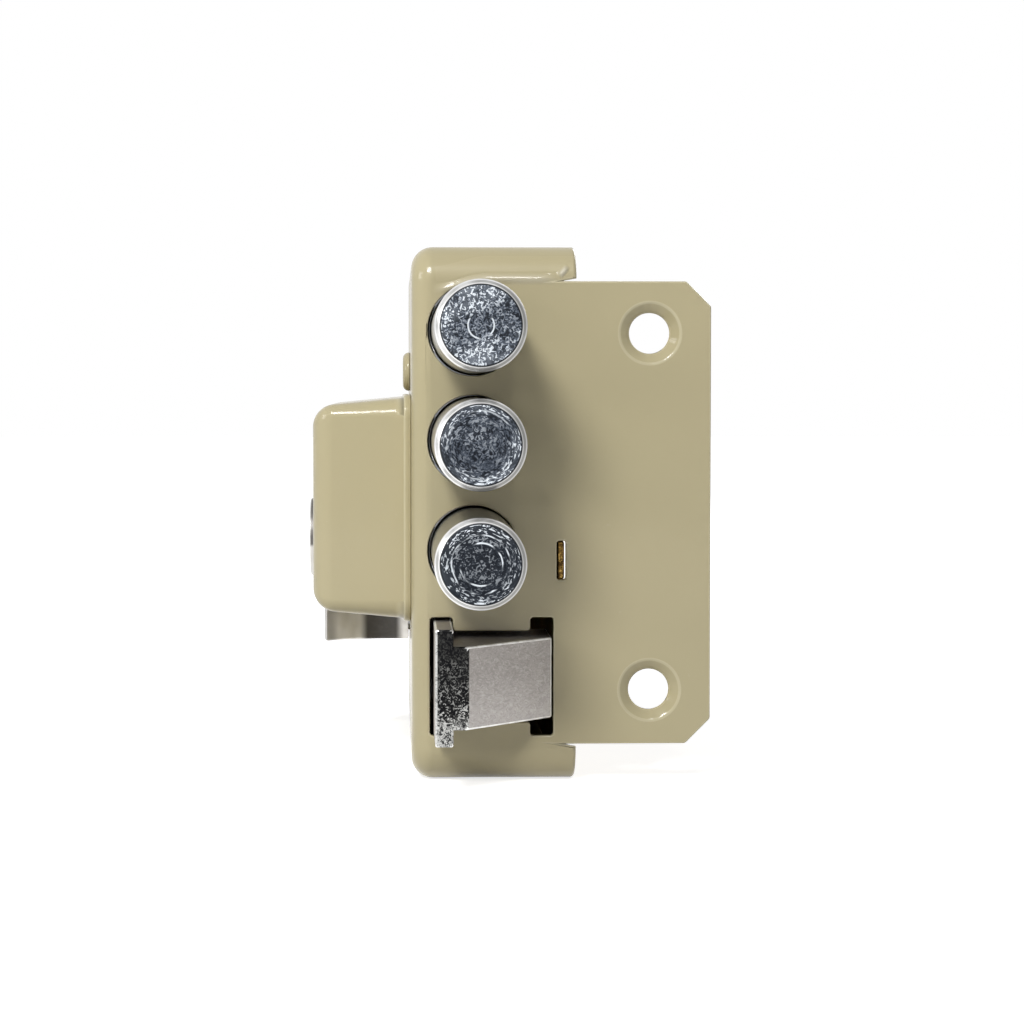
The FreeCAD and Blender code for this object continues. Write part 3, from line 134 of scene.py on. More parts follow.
class Finish:
    """A material while it is made, with short calls for the patterns that several finishes use."""

    def __init__(self, name):
        self.material = bpy.data.materials.new(name)
        self.material.use_nodes = True
        self.tree = self.material.node_tree
        self.surface = self.tree.nodes["Principled BSDF"]
        self.place = self.add("TexCoord").outputs["Object"]

    def feed(self, socket, value):
        if isinstance(value, bpy.types.NodeSocket):
            self.tree.links.new(value, socket)
        else:
            socket.default_value = value

    def add(self, kind, inputs=(), **settings):
        node = self.tree.nodes.new("ShaderNode" + kind)
        for name, setting in settings.items():
            setattr(node, name, setting)
        for socket, value in dict(inputs).items():
            self.feed(node.inputs[socket], value)
        return node

    def set(self, **sockets):
        """Sets or links sockets of the surface, such as Base_Color."""
        for name, value in sockets.items():
            self.feed(self.surface.inputs[name.replace("_", " ")], value)

    def math(self, operation, a, b=0.0):
        return self.add("Math", {0: a, 1: b}, operation=operation).outputs[0]

    def plus(self, a, b):
        return self.math("ADD", a, b)

    def minus(self, a, b):
        return self.math("SUBTRACT", a, b)

    def times(self, a, b):
        return self.math("MULTIPLY", a, b)

    def most(self, a, b):
        return self.math("MAXIMUM", a, b)

    def ramp(self, value, start, stop, low=0.0, high=1.0, way="SMOOTHSTEP"):
        """A value that goes from low to high while another goes from start to stop."""
        return self.add("MapRange", {"Value": value, "From Min": start, "From Max": stop,
                                     "To Min": low, "To Max": high},
                        interpolation_type=way).outputs["Result"]

    def band(self, value, middle, width, soft):
        """One inside a band of values, fading to nothing over a soft margin on both sides."""
        away = self.math("ABSOLUTE", self.minus(value, middle))
        return self.ramp(away, width / 2, width / 2 + soft, 1.0, 0.0)

    def mix(self, factor, a, b):
        """A colour part of the way from one colour to another."""
        return self.add("Mix", {"Factor": factor, 6: a, 7: b}, data_type="RGBA").outputs[2]

    def between(self, factor, a, b):
        """A value part of the way from one value to another."""
        return self.add("Mix", {"Factor": factor, 2: a, 3: b}, data_type="FLOAT").outputs[0]

    def axes(self):
        split = self.add("SeparateXYZ", {"Vector": self.place})
        return split.outputs["X"], split.outputs["Y"], split.outputs["Z"]

    def stretched(self, scale):
        """The object's coordinates, scaled apart along each axis."""
        return self.add("Mapping", {"Vector": self.place, "Scale": scale}).outputs["Vector"]

    def noise(self, scale, detail=2.0, roughness=0.5, place=None, bent=0.0):
        return self.add("TexNoise", {"Vector": place or self.place, "Scale": scale,
                                     "Detail": detail, "Roughness": roughness,
                                     "Distortion": bent}).outputs["Fac"]

    def crinkle(self, scale, place=None):
        """A fine wormy grain, as plating or a cast skin shows: noise that is bent by itself."""
        return self.noise(scale, 1.5, 0.55, place, 1.5)

    def scratches(self, scale, stretch):
        """Thin lines along one axis, where noise drawn out along it is high."""
        return self.ramp(self.noise(scale, 2.0, 0.5, self.stretched(stretch)), 0.62, 0.68)

    def edge(self):
        """One on the rounded edges of a piece, and nothing on its faces."""
        return self.add("Attribute", attribute_name="edge").outputs["Fac"]

    def bump(self, height, distance, normal=None):
        inputs = {"Height": height, "Distance": distance, "Strength": 1.0}
        if normal is not None:
            inputs["Normal"] = normal
        return self.add("Bump", inputs).outputs["Normal"]


def shaded(colour, tone):
    return tuple(part * tone for part in colour[:3]) + (1,)


# %% [markdown]
# ### Paint
#
# The pan, the housing and the head of the stud are sprayed with one glossy beige enamel. It has
# a fine orange peel, a slow drift in its tone, and it runs a little thinner and lighter over
# the edges. A coat over a satin base gives the sharp highlights of enamel and keeps the even
# beige under them.
#
# The pan alone carries press marks. A low ridge runs along the top bend and droops at its left
# end, and just above it the enamel is duller. Beside the upper relief slit the bend has drawn
# the sheet into a small crease. Both are a few tenths of a millimetre deep, so they are bumps:
# in the mesh they would ask for a far finer bend. Along both the enamel is painted paler, a
# painted highlight.

# %% Press marks
PRESS_LINE_HEIGHT = 48.7 * MM
PRESS_LINE_LEFT, PRESS_LINE_RIGHT = -43.0 * MM, -21.0 * MM
PRESS_LINE_RISE, PRESS_LINE_FALL = 1.0 * MM, 1.5 * MM
PRESS_LINE_FADE = 5.0 * MM
PRESS_LINE_TURN = PRESS_LINE_LEFT + 9.0 * MM
PRESS_LINE_DROOP = 2.2 * MM
PRESS_LINE_DEPTH = 0.29 * MM
DULL_ABOVE_LINE = 3.1 * MM
DULL_WIDTH = 2.8 * MM
DULL_FADE = 0.5 * MM
CREASE_TOP = Vector((-17.2, -2.0, 51.2)) * MM
CREASE_LENGTH = 2.8 * MM
CREASE_TURN = radians(41)
CREASE_WIDTH = 0.1 * MM
CREASE_FADE, CREASE_END_FADE = 0.9 * MM, 1.3 * MM
CREASE_DEPTH = 0.4 * MM


def press_line(finish, x, z):
    """How far a point is below the ridge, and the ridge: a straight rise and a soft fall."""
    droop = finish.ramp(x, PRESS_LINE_LEFT - 2.0 * MM, PRESS_LINE_TURN, PRESS_LINE_DROOP, 0.0)
    below = finish.minus(PRESS_LINE_HEIGHT, finish.plus(z, droop))
    ridge = finish.times(finish.ramp(below, -PRESS_LINE_RISE, 0.0, way="LINEAR"),
                         finish.ramp(below, 0.0, PRESS_LINE_FALL, 1.0, 0.0))
    middle = (PRESS_LINE_LEFT + PRESS_LINE_RIGHT) / 2
    length = (PRESS_LINE_RIGHT - PRESS_LINE_LEFT) * 0.8
    return below, finish.times(ridge, finish.band(x, middle, length, PRESS_LINE_FADE))


def crease(finish, x, z):
    """The small fold that runs down to the left from the corner beside the slit."""
    right = finish.minus(x, CREASE_TOP.x)
    down = finish.minus(CREASE_TOP.z, z)
    along = finish.minus(finish.times(down, cos(CREASE_TURN)),
                         finish.times(right, sin(CREASE_TURN)))
    across = finish.plus(finish.times(down, sin(CREASE_TURN)),
                         finish.times(right, cos(CREASE_TURN)))
    return finish.times(finish.band(across, 0.0, CREASE_WIDTH, CREASE_FADE),
                        finish.band(along, CREASE_LENGTH / 2, CREASE_LENGTH * 0.3, CREASE_END_FADE))


def add_press_marks(finish, normal):
    """The normal bent by both marks, the painted highlight along them, and where the enamel is
    dull.
    """
    x, y, z = finish.axes()
    front = finish.ramp(y, 1.5 * MM, -0.5 * MM)
    bend = finish.ramp(y, 6.0 * MM, 3.0 * MM)
    below, line = press_line(finish, x, z)
    steep = finish.times(line, finish.ramp(x, PRESS_LINE_LEFT, PRESS_LINE_TURN, 1.4, 1.0))
    normal = finish.bump(finish.times(steep, front), PRESS_LINE_DEPTH, normal)
    fold = finish.times(crease(finish, x, z), front)
    normal = finish.bump(fold, CREASE_DEPTH, normal)
    # painted highlight: the enamel along the crease and the ridge is painted paler
    painted_highlight = finish.most(fold, finish.times(line, finish.times(front, 0.55)))
    dull = finish.times(finish.band(below, -DULL_ABOVE_LINE, DULL_WIDTH, DULL_FADE), bend)
    dull = finish.times(dull, finish.ramp(x, PRESS_LINE_LEFT - 4.0 * MM, PRESS_LINE_LEFT))
    return normal, painted_highlight, dull


# %% Painted steel
PAINT = (0.438, 0.388, 0.232, 1)
PAINT_WARM = (0.447, 0.388, 0.236, 1)
PAINT_EDGE = (0.56, 0.51, 0.34, 1)
# pale for specks of dust, and for the painted highlight along the press marks
PAINT_DUST_AND_HIGHLIGHT = (0.62, 0.58, 0.46, 1)
COAT_WEIGHT = 0.48
COAT_ROUGHNESS = 0.09
DULL_ROUGHNESS = 0.30
ORANGE_PEEL_DEPTH = 0.03 * MM
WAVE_DEPTH = 0.2 * MM


def make_paint(pressed):
    finish = Finish("beige_enamel")
    drift = finish.noise(26.0)
    dust = finish.ramp(finish.noise(900.0, 2.0, 0.6), 0.70, 0.80)
    tone = finish.mix(drift, PAINT, PAINT_WARM)
    tone = finish.mix(finish.times(finish.edge(), 0.6), tone, PAINT_EDGE)
    tone = finish.mix(finish.times(dust, 0.10), tone, PAINT_DUST_AND_HIGHLIGHT)
    peel = finish.bump(finish.noise(420.0), ORANGE_PEEL_DEPTH)
    waves = finish.bump(finish.noise(60.0, 1.0), WAVE_DEPTH, peel)
    coat_roughness = COAT_ROUGHNESS
    if pressed:
        waves, painted_highlight, dull = add_press_marks(finish, waves)
        # the painted highlight along the press marks, mixed towards the pale
        tone = finish.mix(finish.times(painted_highlight, 0.8), tone, PAINT_DUST_AND_HIGHLIGHT)
        coat_roughness = finish.plus(finish.times(dull, DULL_ROUGHNESS), COAT_ROUGHNESS)
    finish.set(Base_Color=tone, Roughness=finish.ramp(drift, 0.3, 0.7, 0.30, 0.36),
               Specular_IOR_Level=0.10, Coat_Weight=COAT_WEIGHT, Coat_Roughness=coat_roughness,
               Normal=waves, Coat_Normal=waves)
    return finish.material


FINISHES = {"beige_paint": make_paint(pressed=False)}
OWN_FINISHES = {"case": make_paint(pressed=True)}
print("nodes in the pan's paint:", len(OWN_FINISHES["case"].node_tree.nodes))

# %% [markdown]
# ### Bolts
#
# Each bolt is turned bar, zinc plated to a dark blue-grey. The end face is mottled and
# scratched, and each end keeps its own turning marks: a small ring, faint circles, or two clear
# rings. The chamfer round the end and the sides are worn bright, the sides most of all on the
# left; the chamfer is painted paler on the left, a painted highlight where the light falls, and a
# thin painted shade line runs round where the end face meets the chamfer. One tree makes all
# three, and what differs between the ends is kept in one place: the rings as radius in
# millimetres and strength, where and how far the plating is rubbed, how much the grain follows
# the turning, and how deep the tone is.

# %% Bolt sizes, colours and marks
BOLT_X = -36.6 * MM
BOLT_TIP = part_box("upper_bolt")[0].y
BOLT_FACE_RADIUS = 7.75 * MM
BOLT_CHAMFER_LINE = 8.12 * MM
BOLT_LIP_RADIUS = 8.66 * MM
BOLT_CHAMFER_DEPTH = 1.4 * MM
BOLT_BLACK = (0.012, 0.014, 0.018, 1)
BOLT_DARK = (0.085, 0.101, 0.130, 1)
BOLT_MID = (0.190, 0.212, 0.246, 1)
BOLT_PALE = (0.60, 0.64, 0.68, 1)
BOLT_SIDE = (0.20, 0.198, 0.190, 1)
BOLT_BRIGHT = (0.46, 0.463, 0.46, 1)
BOLT_RIM = (0.76, 0.76, 0.755, 1)
BOLT_END_MARKS = {
    "upper_bolt": {"rings": [(2.5, 0.9)], "rub_turn": radians(115), "rub": 1.0,
                   "rim": 0.35, "swirl": 0.0, "tone": 0.95},
    "middle_bolt": {"rings": [(6.6, 0.5)], "rub_turn": radians(60), "rub": 0.05,
                    "rim": 0.80, "swirl": 0.9, "tone": 0.70},
    "lower_bolt": {"rings": [(4.15, 0.9), (5.7, 0.75)], "rub_turn": radians(100), "rub": 0.02,
                   "rim": 0.65, "swirl": 0.9, "tone": 0.30},
}
RING_WIDTH = 0.14 * MM
LATHE_PITCH = 0.32 * MM
LATHE_DEPTH = 0.004 * MM
MOTTLE_DEPTH = 0.05 * MM
print("tip of the bolts: y = %.1f mm" % (BOLT_TIP / MM))

# %% Bolt end faces


def rubbed_plating(finish, across, up, radius, marks):
    """Where the dark plating is rubbed pale: in clouds on two sides, and towards the rim."""
    cloud = finish.ramp(finish.noise(190.0, 4.0, 0.6), 0.38, 0.62)
    along = finish.plus(finish.times(across, cos(marks["rub_turn"])),
                        finish.times(up, sin(marks["rub_turn"])))
    rubbed = finish.ramp(finish.math("ABSOLUTE", along), 1.5 * MM, 6.5 * MM, 0.0, marks["rub"])
    rim = finish.ramp(radius, 5.0 * MM, BOLT_FACE_RADIUS, 0.0, marks["rim"])
    patches = finish.times(finish.most(rubbed, rim), finish.plus(finish.times(cloud, 0.9), 0.25))
    return finish.plus(patches, finish.times(cloud, 0.12))


def turned_grain(finish, across, up, radius, swirl):
    """A wormy grain that follows the turning more and more towards the rim."""
    turn = finish.add("CombineXYZ", {
        "X": finish.times(radius, 1800.0),
        "Y": finish.times(finish.math("DIVIDE", across, radius), 4.5),
        "Z": finish.times(finish.math("DIVIDE", up, radius), 4.5)}).outputs[0]
    outer = finish.ramp(radius, 2.5 * MM, 5.0 * MM, 0.0, swirl)
    return finish.between(outer, finish.crinkle(1350.0), finish.crinkle(1.0, turn))


def end_face_tone(finish, across, up, radius, marks):
    """The colour of the end of a bolt, and how bright it is rubbed."""
    glow = rubbed_plating(finish, across, up, radius, marks)
    grain = turned_grain(finish, across, up, radius, marks["swirl"])
    bright = finish.times(finish.ramp(grain, 0.52, 0.62),
                          finish.plus(finish.times(glow, 1.3), 0.20))
    wobble = finish.plus(radius, finish.times(finish.noise(260.0), 0.5 * MM))
    for ring_radius, strength in marks["rings"]:
        ring = finish.band(wobble, ring_radius * MM + 0.25 * MM, RING_WIDTH, RING_WIDTH)
        gaps = finish.ramp(finish.noise(300.0, 2.0), 0.42, 0.58, 0.0, strength)
        bright = finish.most(bright, finish.times(ring, gaps))
    base = finish.mix(finish.ramp(grain, 0.40, 0.54), BOLT_BLACK, shaded(BOLT_DARK, marks["tone"]))
    base = finish.mix(finish.times(glow, 0.7), base, shaded(BOLT_MID, marks["tone"]))
    return finish.mix(finish.ramp(bright, 0.0, 0.9), base, BOLT_PALE), bright


# %% Bolt sides and the whole bolt


def chamfer_tone(finish, across, up, radius):
    """The chamfer and its two lines: worn in patches, and painted paler towards the left as a
    painted highlight.
    """
    line = finish.band(radius, BOLT_CHAMFER_LINE, 0.10 * MM, 0.10 * MM)
    lip = finish.plus(finish.ramp(radius, BOLT_LIP_RADIUS, BOLT_LIP_RADIUS + 0.10 * MM), line)
    lip = finish.math("MINIMUM", lip, 1.0)
    # painted highlight: the chamfer and its lines are painted white on the left, where the light
    # falls, and only a little pale on the right
    leftward = finish.minus(across, finish.times(up, 0.4))
    left_highlight = finish.ramp(leftward, 7.0 * MM, -7.0 * MM, 0.10, 0.80)
    worn = finish.times(left_highlight, finish.ramp(finish.noise(260.0, 3.0), 0.35, 0.65, 0.45, 1.0))
    lip = finish.times(lip, finish.ramp(left_highlight, 0.15, 0.50, 0.45, 1.0))
    return finish.mix(finish.between(lip, worn, 1.0), BOLT_SIDE, BOLT_RIM)


def side_tone(finish, across, up):
    """The side of a bolt, rubbed along its length, paler below and to the left."""
    grind = finish.noise(900.0, 2.0, 0.5, finish.stretched((1.0, 9.0, 1.0)))
    rub = finish.ramp(finish.plus(finish.times(across, 0.6), up), -6.0 * MM, 6.0 * MM, 0.9, 0.1)
    side = finish.mix(finish.times(rub, finish.ramp(grind, 0.3, 0.65, 0.5, 1.0)),
                      BOLT_SIDE, BOLT_BRIGHT)
    drawn = finish.scratches(700.0, (1.0, 0.05, 1.0))
    return finish.mix(finish.times(drawn, 0.45), side, BOLT_MID)


def make_bolt_steel(name, marks):
    low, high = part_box(name)
    finish = Finish(name + "_steel")
    x, y, z = finish.axes()
    across = finish.minus(x, BOLT_X)
    up = finish.minus(z, (low.z + high.z) / 2)
    radius = finish.math("SQRT", finish.plus(finish.times(across, across), finish.times(up, up)))
    front = finish.ramp(y, BOLT_TIP + 0.02 * MM, BOLT_TIP + 0.10 * MM, 1.0, 0.0)
    nose = finish.ramp(y, BOLT_TIP + BOLT_CHAMFER_DEPTH, BOLT_TIP + BOLT_CHAMFER_DEPTH + 0.2 * MM,
                       1.0, 0.0)
    face, bright = end_face_tone(finish, across, up, radius, marks)
    tone = finish.mix(nose, side_tone(finish, across, up), chamfer_tone(finish, across, up, radius))
    tone = finish.mix(front, tone, face)
    # a painted shade line: a thin near-black ring where the end face meets the chamfer
    painted_shade_line = finish.band(radius, BOLT_FACE_RADIUS + 0.10 * MM, 0.16 * MM, 0.14 * MM)
    tone = finish.mix(finish.times(painted_shade_line, finish.times(nose, 0.95)), tone, BOLT_BLACK)
    lathe = finish.math("SINE", finish.times(radius, 2 * pi / LATHE_PITCH))
    turned = finish.bump(finish.times(lathe, front), LATHE_DEPTH)
    relief = finish.bump(finish.times(bright, front), MOTTLE_DEPTH, turned)
    finish.set(Base_Color=tone, Metallic=1.0, Normal=relief,
               Roughness=finish.ramp(finish.times(front, bright), 0.0, 0.8, 0.30, 0.42))
    return finish.material


for name, marks in BOLT_END_MARKS.items():
    OWN_FINISHES[name] = make_bolt_steel(name, marks)
    print(name, "rings:", len(marks["rings"]))

# %% [markdown]
# ### Latch
#
# The latch is a cast piece with a ground bevel. The narrow front is dark and pitted at the top
# and rubbed paler towards the bottom, with bright worn edges. The bevel is a satin warm grey
# with faint scuffs. Front and bevel are told apart by their depth, so one tree covers the head,
# and the worn edges come from the mark that the rounded shells carry.

# %% Latch
LATCH_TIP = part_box("latch_bolt")[0].y
LATCH_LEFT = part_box("latch_bolt")[0].x
LATCH_LOW, LATCH_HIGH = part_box("latch_bolt")[0].z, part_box("latch_bolt")[1].z
LATCH_BLACK = (0.004, 0.004, 0.005, 1)
LATCH_GREY = (0.022, 0.022, 0.021, 1)
LATCH_RUBBED = (0.62, 0.62, 0.60, 1)
LATCH_WORN = (0.82, 0.82, 0.80, 1)
LATCH_BEVEL = (0.330, 0.308, 0.292, 1)
LATCH_BEVEL_PALE = (0.430, 0.405, 0.388, 1)
PIT_DEPTH = 0.08 * MM
GRIT_DEPTH = 0.01 * MM


def latch_front_tone(finish, x, height, grain):
    """The cast front: black, with pale specks, a rubbed toe and a paler strip along its left flank.
    """
    rub = finish.plus(finish.ramp(height, 0.10, 0.62, 0.72, 0.18),
                      finish.ramp(height, 0.72, 0.90, 0.0, -0.15))
    patches = finish.ramp(finish.noise(330.0, 3.0, 0.6), 0.38, 0.60, 0.70, 1.10)
    speck = finish.times(finish.times(finish.ramp(grain, 0.54, 0.60), rub), patches)
    flank = finish.ramp(x, LATCH_LEFT + 0.30 * MM, LATCH_LEFT + 0.60 * MM, 0.85, 0.0)
    flank = finish.times(flank, finish.ramp(grain, 0.36, 0.50, 0.45, 1.0))
    toe = finish.times(finish.ramp(height, 0.02, 0.20, 0.55, 0.0),
                       finish.ramp(grain, 0.40, 0.54, 0.10, 1.0))
    base = finish.mix(finish.ramp(grain, 0.42, 0.56), LATCH_BLACK, LATCH_GREY)
    base = finish.mix(toe, base, LATCH_RUBBED)
    return finish.mix(finish.most(speck, flank), base, LATCH_RUBBED)


def latch_bevel_tone(finish, height, scuffs):
    """The ground bevel: warm grey, paler below, with pale and dark scuffs."""
    satin = finish.mix(finish.ramp(height, 0.0, 0.8), LATCH_BEVEL_PALE, LATCH_BEVEL)
    satin = finish.mix(finish.times(finish.noise(260.0, 4.0, 0.6), 0.15), satin, LATCH_GREY)
    satin = finish.mix(finish.ramp(scuffs, 0.56, 0.64, 0.0, 0.10), satin, LATCH_WORN)
    return finish.mix(finish.ramp(scuffs, 0.47, 0.41, 0.0, 0.13), satin, LATCH_GREY)


def make_latch_steel():
    finish = Finish("latch_steel")
    x, y, z = finish.axes()
    front = finish.ramp(y, LATCH_TIP + 0.3 * MM, LATCH_TIP + 0.5 * MM, 1.0, 0.0)
    height = finish.ramp(z, LATCH_LOW, LATCH_HIGH)
    grain = finish.crinkle(1350.0)
    scuffs = finish.crinkle(780.0, finish.stretched((1.0, 1.0, 1.7)))
    tone = finish.mix(front, latch_bevel_tone(finish, height, scuffs),
                      latch_front_tone(finish, x, height, grain))
    worn = finish.times(finish.edge(), finish.ramp(finish.noise(420.0), 0.36, 0.56, 0.65, 1.0))
    tone = finish.mix(worn, tone, LATCH_WORN)
    cast = finish.bump(finish.between(front, scuffs, grain), PIT_DEPTH)
    relief = finish.bump(finish.noise(1300.0, 3.0, 0.6), GRIT_DEPTH, cast)
    finish.set(Base_Color=tone, Metallic=0.9, Normal=relief,
               Roughness=finish.ramp(front, 0.0, 1.0, 0.46, 0.34))
    return finish.material


FINISHES["latch_steel"] = make_latch_steel()
print("head of the latch: %.1f mm tall" % ((LATCH_HIGH - LATCH_LOW) / MM))

# %% [markdown]
# ### Plated and plain metals
#
# The inner pieces have the finishes that such locks have inside: yellow passivated zinc on the
# carriage and the cover, bright zinc on brackets, posts and screws, brass on the plug, the bush
# and the nut, drawn wire, and sintered gears. One recipe with two drifting tones, a grain and
# paler edges serves them all.
#
# Two are made apart. The cover's tab, which shows in its slot, has gone dark and spotty. The
# chrome of the thumb piece and the cylinder is buffed, and each has a painted dark reflection, a
# near-black band in its colour. The thumb piece's chrome is also painted paler, a painted
# brightening where the housing shades it.

# %% Plated and plain metals
EDGE_RUBBED = (0.9, 0.89, 0.86, 1)
ZINC_GOLD = (0.50, 0.33, 0.10, 1)
ZINC_OLIVE = (0.38, 0.27, 0.10, 1)
ZINC_BROWN = (0.150, 0.088, 0.024, 1)
ZINC_STAIN = (0.030, 0.016, 0.005, 1)
BRIGHT_ZINC, BRIGHT_ZINC_DEEP = (0.52, 0.54, 0.57, 1), (0.42, 0.44, 0.48, 1)
BRASS, BRASS_DEEP = (0.62, 0.43, 0.17, 1), (0.52, 0.37, 0.16, 1)
WIRE, WIRE_PALE = (0.20, 0.20, 0.21, 1), (0.27, 0.26, 0.26, 1)
SINTERED, SINTERED_DEEP = (0.30, 0.285, 0.26, 1), (0.22, 0.21, 0.20, 1)
FINE_PITS, COARSE_PITS = 0.01 * MM, 0.03 * MM
TAB_STAIN_DEPTH = 0.02 * MM


def slow_drift(finish, scale=60.0):
    return finish.ramp(finish.noise(scale, 3.0, 0.6), 0.34, 0.66)


def make_metal(name, base, second, roughness, drift_scale=120.0, brush=None, pits=FINE_PITS):
    """A plated metal: two tones that drift, a brushed grain, and paler worn edges."""
    finish = Finish(name)
    grain = finish.noise(1400.0, 2.0, 0.5, finish.stretched(brush) if brush else None)
    tone = finish.mix(slow_drift(finish, drift_scale), base, second)
    tone = finish.mix(finish.times(finish.edge(), 0.3), tone, EDGE_RUBBED)
    finish.set(Base_Color=tone, Metallic=1.0, Normal=finish.bump(grain, pits),
               Roughness=finish.ramp(grain, 0.3, 0.7, roughness * 0.8, roughness * 1.25))
    return finish.material


def make_hooked_zinc():
    """The zinc of the cover, gone dark and spotty on the end of the tab that shows in its slot."""
    finish = Finish("hooked_zinc")
    grain = finish.crinkle(1500.0)
    tone = finish.mix(slow_drift(finish), ZINC_GOLD, ZINC_OLIVE)
    tone = finish.mix(finish.times(finish.edge(), 0.25), tone, EDGE_RUBBED)
    spotty = finish.mix(finish.ramp(grain, 0.40, 0.56), ZINC_STAIN, ZINC_BROWN)
    spotty = finish.mix(finish.ramp(grain, 0.58, 0.68), spotty, ZINC_GOLD)
    end = finish.ramp(finish.axes()[1], 0.2 * MM, 1.4 * MM, 1.0, 0.0)
    finish.set(Base_Color=finish.mix(end, tone, spotty), Metallic=1.0,
               Normal=finish.bump(grain, TAB_STAIN_DEPTH),
               Roughness=finish.ramp(grain, 0.3, 0.7, 0.30, 0.44))
    return finish.material


FINISHES["yellow_zinc"] = make_metal("yellow_zinc", ZINC_GOLD, ZINC_OLIVE, 0.37, 60.0)
FINISHES["bright_zinc"] = make_metal("bright_zinc", BRIGHT_ZINC, BRIGHT_ZINC_DEEP, 0.37)
FINISHES["cylinder_brass"] = make_metal("machined_brass", BRASS, BRASS_DEEP, 0.20,
                                        brush=(9.0, 1.0, 1.0))
FINISHES["spring_steel"] = make_metal("drawn_wire", WIRE, WIRE_PALE, 0.37)
FINISHES["gear_steel"] = make_metal("sintered_steel", SINTERED, SINTERED_DEEP, 0.45,
                                    pits=COARSE_PITS)
OWN_FINISHES["cover_plate"] = make_hooked_zinc()
print("finishes so far:", sorted(FINISHES), sorted(OWN_FINISHES))

# %% Chrome
CHROME_PALE = (0.62, 0.605, 0.585, 1)
CHROME_WARM = (0.52, 0.505, 0.485, 1)
# near black for the painted dark reflections on the thumb piece and the key cylinder
CHROME_PAINTED_REFLECTION = (0.065, 0.060, 0.055, 1)
CHROME_RUBBED = (0.90, 0.89, 0.87, 1)
CHROME_HAZE_DEPTH = 0.004 * MM
THUMB_BAND_X, THUMB_BAND_WIDTH, THUMB_BAND_FADE = -56.3 * MM, 6.4 * MM, 2.2 * MM
THUMB_END_X = -65.8 * MM
CYLINDER_BAND_HEIGHT = -11.6 * MM


def thumb_painted_reflection(finish):
    """A painted dark reflection: a band across the thumb piece, and a half dark outer end."""
    x = finish.axes()[0]
    return finish.most(finish.band(x, THUMB_BAND_X, THUMB_BAND_WIDTH, THUMB_BAND_FADE),
                       finish.ramp(x, THUMB_END_X, THUMB_END_X - 2.4 * MM, 0.0, 0.50))


def cylinder_painted_reflection(finish):
    """A painted dark reflection that makes the upper part of the key cylinder nearly black."""
    z = finish.axes()[2]
    return finish.times(finish.ramp(z, CYLINDER_BAND_HEIGHT, CYLINDER_BAND_HEIGHT + MM), 0.9)


def make_chrome(name, painted_reflection_band, polish, metallic=0.85, tone=1.0):
    """Polished chrome: buffed in one direction, with one painted dark reflection band and paler,
    rubbed edges.
    """
    finish = Finish(name)
    haze = finish.noise(700.0, 3.0, 0.6)
    buff = finish.noise(260.0, 2.0, 0.5, finish.stretched((1.0, 0.3, 0.3)))
    chrome = finish.mix(finish.ramp(buff, 0.35, 0.65),
                        shaded(CHROME_PALE, tone), shaded(CHROME_WARM, tone))
    chrome = finish.mix(painted_reflection_band(finish), chrome, CHROME_PAINTED_REFLECTION)
    chrome = finish.mix(finish.times(haze, 0.10), chrome, CHROME_PALE)
    chrome = finish.mix(finish.times(finish.edge(), 0.4), chrome, CHROME_RUBBED)
    finish.set(Base_Color=chrome, Metallic=metallic, Normal=finish.bump(haze, CHROME_HAZE_DEPTH),
               Roughness=finish.ramp(haze, 0.3, 0.7, polish, polish * 1.6))
    return finish.material


FINISHES["chrome"] = make_chrome("polished_chrome", cylinder_painted_reflection, 0.29)
# the thumb piece's chrome is painted 1.5 times paler than the cylinder's: a painted brightening
# where the housing shades it
OWN_FINISHES["thumb_piece"] = make_chrome("buffed_chrome", thumb_painted_reflection, 0.30, 0.60, 1.5)


def finish_for(node):
    """The finish of a node: its own where it has one, or else that of its material slot."""
    return OWN_FINISHES[node] if node in OWN_FINISHES else FINISHES[SLOT_OF[node]]


print("slots without a finish:", sorted(set(SLOT_OF.values()) - set(FINISHES) - {"bolt_steel"}))

# %% [markdown]
# ## Rounded shells
#
# Nothing on the real lock has a razor edge: punched sheet is tumbled, paint rolls over its
# corners, and turned steel is broken with a file. Each larger node gets a shell with the node's
# own form and its sharp edges rounded, by so many millimetres as the table of widths says. The
# small screws, clips and gears keep their own form. A Bevel modifier could round them all, but
# it would also round the edges that lie inside or against a neighbour. So bevel is given only
# the edges that one can look away from into the open. The rounded strips carry a mark, `edge`,
# which the finishes use to lighten paint and wear plating.
#
# The screw bosses inside the housing reach thin slivers through its round corners in the
# construction model. The real skin is whole there, so its shell has them taken off.

# %% Rounding
SHARP = radians(35)
FOLDED = radians(150)
CLEAR_OF_FACE = 0.02 * MM
SAME_POINT = 0.002 * MM
SAME_PLANE = radians(0.05)


def edges_that_show(shape):
    """The sharp outer edges of a form from whose middle one can look away into the open."""
    tree = BVHTree.FromBMesh(shape)
    for edge in shape.edges:
        if len(edge.link_faces) != 2 or not edge.is_convex:
            continue
        if not SHARP < edge.calc_face_angle() < FOLDED:
            continue
        outward = (edge.link_faces[0].normal + edge.link_faces[1].normal).normalized()
        middle = (edge.verts[0].co + edge.verts[1].co) / 2
        if tree.ray_cast(middle + outward * CLEAR_OF_FACE, outward)[0] is None:
            yield edge


def soften(shape, width, steps):
    """Rounds the sharp edges of a closed form and marks the strips that this makes."""
    mark = shape.faces.layers.float.new("edge")
    strips = bmesh.ops.bevel(shape, geom=list(edges_that_show(shape)), offset=width,
                             offset_type="OFFSET", segments=steps, profile=0.5, affect="EDGES",
                             clamp_overlap=False, material=-1)
    for face in strips["faces"]:
        face[mark] = 1.0


